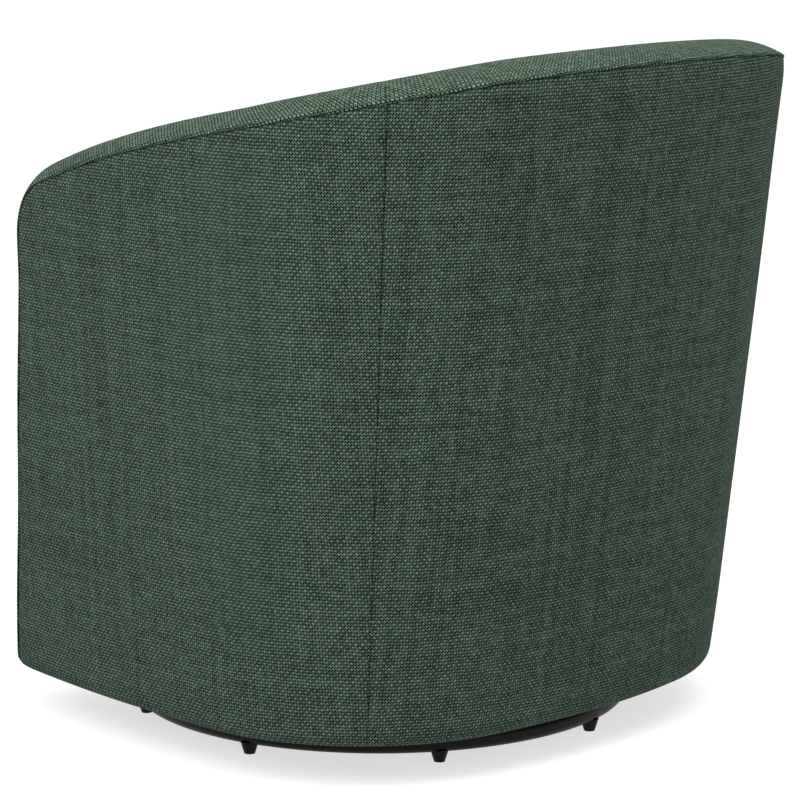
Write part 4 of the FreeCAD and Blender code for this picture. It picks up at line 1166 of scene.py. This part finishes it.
def weave_finish(name, bias=False, painted_light_gain=1.0, from_uv=True):
    """Plain-woven melange cloth: two crossing sets of threads, with painted shade in the holes at their corners.
    """
    finish = Finish(name)
    if from_uv:
        place = finish.node("ShaderNodeUVMap", {"uv_map": "cloth"}, {})
    else:
        place = finish.place()
    x, y, z = finish.split(place)
    if not from_uv:
        y = y + z
    if bias:
        x, y = (x + y) * sqrt(0.5), (y - x) * sqrt(0.5)
    across = x / WARP_PITCH + (finish.noise(place, 60.0, 2.0) - 0.5) * THREAD_WANDER
    along = y / WEFT_PITCH + (finish.noise(place, 47.0, 2.0) - 0.5) * THREAD_WANDER
    warp_index, weft_index = across.floor(), along.floor()
    warp_side, weft_side = across.fraction() - 0.5, along.fraction() - 0.5
    weft_up = 1.0 - 4.0 * ((warp_index + weft_index) * 0.5).fraction()
    # Each thread's own roundness, and its rise and fall over the threads it crosses
    thickness = 0.78 + 0.44 * finish.spot(warp_index, weft_index, 1.0)
    warp_place = (warp_side + FLOAT_LEAN * weft_side) / (WARP_HALF_WIDTH * thickness)
    weft_place = (weft_side + FLOAT_LEAN * warp_side) / (WEFT_HALF_WIDTH * thickness)
    warp_round = (1.0 - warp_place * warp_place).limited()
    weft_round = (1.0 - weft_place * weft_place).limited()
    warp_height = THREAD_MIDDLE - THREAD_RISE * (weft_up * (weft_side * pi).cosine())
    weft_height = THREAD_MIDDLE + THREAD_RISE * (weft_up * (warp_side * pi).cosine())
    warp_height = warp_round.power(ROUNDNESS) * warp_height
    weft_height = weft_round.power(ROUNDNESS) * weft_height
    height = warp_height.larger(weft_height)
    weft_shows = weft_height > warp_height
    # Melange: thicker pale lengths run along both threads, and whole lengths are browner
    weft_slub = finish.noise(finish.joined(across * 0.07, weft_index * 3.7), 1.0, 2.0, "2D")
    warp_slub = finish.noise(finish.joined(warp_index * 2.9, along * 0.05), 1.0, 2.0, "2D")
    slub = ((weft_slub - 0.56) * 6.0).limited() * weft_shows
    slub = slub + ((warp_slub - 0.60) * 5.0).limited() * (1.0 - weft_shows)
    brown = finish.noise(finish.joined(warp_index * 0.21, weft_index * 0.9), 1.0, 2.0, "2D")
    odd = finish.spot(warp_index, weft_index, 3.0)
    thread = finish.mixed(weft_shows, WARP_COLOUR, WEFT_COLOUR)
    thread = finish.mixed(((brown - 0.52) * 5.0).limited() * 0.30, thread, BROWN_COLOUR)
    thread = finish.mixed(slub * 0.55, thread, PALE_COLOUR)
    thread = finish.mixed(odd.below(0.03) * 0.4, thread, OLIVE_COLOUR)
    # Bars and stripes where thicker yarn was woven in, and soft cloudiness
    stripe = finish.noise(finish.joined(warp_index * 0.37, along * 0.004), 1.0, 2.0, "2D")
    bar = finish.noise(finish.joined(across * 0.010, weft_index * 0.45), 1.0, 2.0, "2D")
    broad = 0.35 * finish.noise(place, 9.0, 2.0) + 1.1 * stripe + 1.0 * bar
    uneven = 0.64 + 0.72 * finish.spot(warp_index, weft_index, 7.0)
    # Painted shade of the weave's relief: dark holes and thread flanks, lighter crowns, times each crossing's own
    # tone
    shade = THREAD_SHADE * height.power(HEIGHT_CONTRAST) * uneven
    diagonal = ((across - along) * pi).cosine()
    stroke = ((across + along) * (2 * pi)).cosine()
    shade = shade * (0.18 + 0.67 * broad) * (1.0 + DIAGONAL * diagonal + STROKE * stroke)
    # The brightest spots of the painted thread shade and of the thread tone are held down
    shade = shade * HIGH_GAIN / (1.0 + HIGH_LIMIT * shade)
    # Brighter places turn paler grey-green: painted highlight on lit thread crowns, and the paler tone of the
    # lighter threads
    thread = finish.mixed((shade * 0.55 - 0.12).limited(), thread, PAINTED_HIGHLIGHT_COLOUR)
    # Painted shade in the creases, read from each piece's crease attribute
    crease = finish.node("ShaderNodeAttribute", {"attribute_name": "crease"}, {}, "Fac")
    shade = shade * (1.0 - CREASE_SHADE * crease)
    # A gain above 1 paints light over the whole cloth
    finish.set(Base_Color=finish.scaled(thread, shade * painted_light_gain), Roughness=0.95)
    finish.set(Sheen_Weight=0.01, Sheen_Roughness=0.5, Sheen_Tint=(0.7, 0.85, 0.75, 1.0))
    finish.set(Specular_IOR_Level=0.03, Normal=finish.bump(height, 0.0008, 0.5))
    return finish.material


def coated_finish(name, colour, roughness, grain, depth):
    """Powder coat or moulded plastic: a fine even grain."""
    finish = Finish(name)
    fine = finish.noise(finish.place(), grain, 3.0)
    finish.set(Base_Color=finish.scaled(colour, 0.85 + 0.3 * fine), Roughness=roughness - 0.05 + 0.1 * fine)
    finish.set(Specular_IOR_Level=0.10, Normal=finish.bump(fine, depth, 0.4))
    return finish.material


def metal_finish(name, colour, roughness):
    """Plated or oiled steel: faint clouds in its colour and gloss."""
    finish = Finish(name)
    cloud = finish.noise(finish.place(), 60.0, 4.0)
    finish.set(Base_Color=finish.scaled(colour, 0.85 + 0.3 * cloud), Metallic=1.0,
               Roughness=roughness - 0.08 + 0.16 * cloud)
    return finish.material


def wood_finish(name, colour, scale):
    """Rings drawn out along the grain."""
    finish = Finish(name)
    x, y, z = finish.split(finish.place())
    stretched = finish.joined(x * 6.0, y * 60.0, z * 60.0)
    rings = finish.noise(stretched, scale, 4.0)
    fine = finish.noise(finish.joined(x * 20.0, y * 400.0, z * 400.0), scale, 2.0)
    finish.set(Base_Color=finish.scaled(colour, 0.65 + 0.5 * rings + 0.2 * fine), Roughness=0.65)
    finish.set(Normal=finish.bump(fine, 0.0002, 0.4))
    return finish.material


def fibre_finish(name, colour, scale, depth):
    """Felted or foamed stuff: speckle at two sizes."""
    finish = Finish(name)
    place = finish.place()
    coarse = finish.noise(place, scale, 3.0)
    fine = finish.noise(place, scale * 8.0, 2.0)
    finish.set(Base_Color=finish.scaled(colour, 0.7 + 0.35 * coarse + 0.25 * fine), Roughness=0.95)
    finish.set(Normal=finish.bump(coarse + fine * 0.5, depth, 0.6))
    return finish.material


WEAVE = weave_finish("green_weave")
MATERIALS = {
    "board": wood_finish("raw_ply", (0.55, 0.38, 0.22), 1.0),
    "fibreboard": fibre_finish("brown_fibreboard", (0.30, 0.21, 0.14), 300.0, 0.0003),
    "foam": fibre_finish("cream_foam", (0.80, 0.74, 0.58), 500.0, 0.0006),
    "webbing": fibre_finish("jute_webbing", (0.42, 0.33, 0.20), 400.0, 0.0005),
    "decking": fibre_finish("black_decking", (0.03, 0.03, 0.03), 400.0, 0.0003),
    "cambric": fibre_finish("black_cambric", (0.02, 0.02, 0.02), 600.0, 0.0002),
    "black_tube": coated_finish("black_coat", (0.004, 0.004, 0.004), 0.36, 1500.0, 0.0001),
    "zinc_steel": metal_finish("zinc_plate", (0.62, 0.62, 0.60), 0.35),
    "spring_wire": metal_finish("spring_steel", (0.33, 0.32, 0.31), 0.4),
    "glide_plastic": coated_finish("black_nylon", (0.005, 0.005, 0.005), 0.45, 900.0, 0.0001),
}
# The band's copy of the weave, cut on the bias, with painted light that makes it 1.18 times brighter than the
# walls, as on a top lit from above
BIAS_WEAVE_PAINTED_LIT = weave_finish("green_weave_bias_painted_lit", bias=True, painted_light_gain=1.18)
MATERIALS["upholstery"] = weave_finish("green_weave_solid", from_uv=False)


def dress(piece, material):
    piece.data.materials.clear()
    piece.data.materials.append(material)


# Making the pieces

dress(wall_cover("back_cover", "outer_panel_back", 0, True), WEAVE)
dress(wall_cover("left_side_cover", "outer_panel_left", 1, True), WEAVE)
dress(wall_cover("right_side_cover", "outer_panel_right", -1, True), WEAVE)
dress(make_band("rear_band", "rim_band_back", 0), BIAS_WEAVE_PAINTED_LIT)
dress(make_band("left_band", "rim_band_left", 1), BIAS_WEAVE_PAINTED_LIT)
dress(make_band("right_band", "rim_band_right", -1), BIAS_WEAVE_PAINTED_LIT)
dress(wall_cover("back_rest_cover", "inside_back_cover", 0, False), WEAVE)
dress(wall_cover("left_inside_cover", "inside_arm_cover_left", 1, False), WEAVE)
dress(wall_cover("right_inside_cover", "inside_arm_cover_right", -1, False), WEAVE)
dress(make_apron(), WEAVE)
dress(make_cushion(), WEAVE)
dress(make_bottom_cloth(), MATERIALS["cambric"])
dress(make_burlap(), MATERIALS["webbing"])
for node in ("inside_back_foam", "inside_arm_foam_left", "inside_arm_foam_right", "rim_padding_back",
             "rim_padding_left", "rim_padding_right"):
    dress(softened("soft_" + node, node, FOAM_VOXEL), MATERIALS["foam"])
dress(softened("insulator_pad", "deck_pad", PAD_VOXEL), MATERIALS["decking"])

for node, shown in frame["nodes"].items():
    slot = next(p["material_slot"] for p in frame["record"]["subparts"] if p["node"] == node)
    dress(shown, MATERIALS[slot])


# Camera, floor and light

CAMERA_AZIMUTH = 133.44
CAMERA_ELEVATION = 10.48
CAMERA_DISTANCE = 3.7905
CAMERA_ASIDE = 0.0204
AIM = Vector((0.0, 0.0, 0.3188))
CAMERA_LENS = 163.96
SENSOR_WIDTH = 36.0
FLOOR_HALF_WIDTH = 30.0
FLOOR_GLOW = 0.66


def aimed(name, data, aim, azimuth, elevation, distance):
    """Sets up a camera or lamp that looks at a place. Azimuth 0 is in front of the chair."""
    a, e = radians(azimuth), radians(elevation)
    way = Vector((sin(a) * cos(e), -cos(a) * cos(e), sin(e)))
    made = added(name, data)
    made.location = aim + way * distance
    made.rotation_euler = (-way).to_track_quat("-Z", "Y").to_euler()
    return made


def make_camera():
    data = bpy.data.cameras.new("camera")
    data.lens = CAMERA_LENS
    data.sensor_width = SENSOR_WIDTH
    turn = radians(CAMERA_AZIMUTH)
    aim = AXIS + AIM + Vector((cos(turn), sin(turn), 0.0)) * CAMERA_ASIDE
    camera = aimed("camera", data, aim, CAMERA_AZIMUTH, CAMERA_ELEVATION, CAMERA_DISTANCE)
    bpy.context.scene.camera = camera


def make_lamp(name, azimuth, elevation, distance, size, power):
    """A soft square lamp."""
    data = bpy.data.lights.new(name, "AREA")
    data.size = size
    data.energy = power
    aimed(name, data, AIM, azimuth, elevation, distance)


def make_floor():
    bm = bmesh.new()
    bmesh.ops.create_grid(bm, x_segments=1, y_segments=1, size=FLOOR_HALF_WIDTH)
    floor = meshed("floor", bm)
    finish = Finish("pale_floor")
    speck = finish.noise(finish.place(), 3.0, 2.0)
    finish.set(Base_Color=finish.scaled((0.34, 0.34, 0.34), 0.99 + 0.02 * speck), Roughness=0.9)
    finish.set(Emission_Color=(1.0, 1.0, 1.0, 1.0), Emission_Strength=FLOOR_GLOW)
    dress(floor, finish.material)


def make_world():
    world = bpy.data.worlds.new("studio")
    world.use_nodes = True
    background = world.node_tree.nodes["Background"]
    background.inputs["Color"].default_value = (1.0, 1.0, 1.0, 1.0)
    background.inputs["Strength"].default_value = 1.0
    bpy.context.scene.world = world


make_camera()
make_floor()
make_world()
make_lamp("key", azimuth=95.0, elevation=40.0, distance=3.0, size=2.0, power=60.0)
make_lamp("over", azimuth=165.0, elevation=75.0, distance=2.5, size=2.5, power=70.0)
bpy.context.scene.view_settings.view_transform = "Standard"
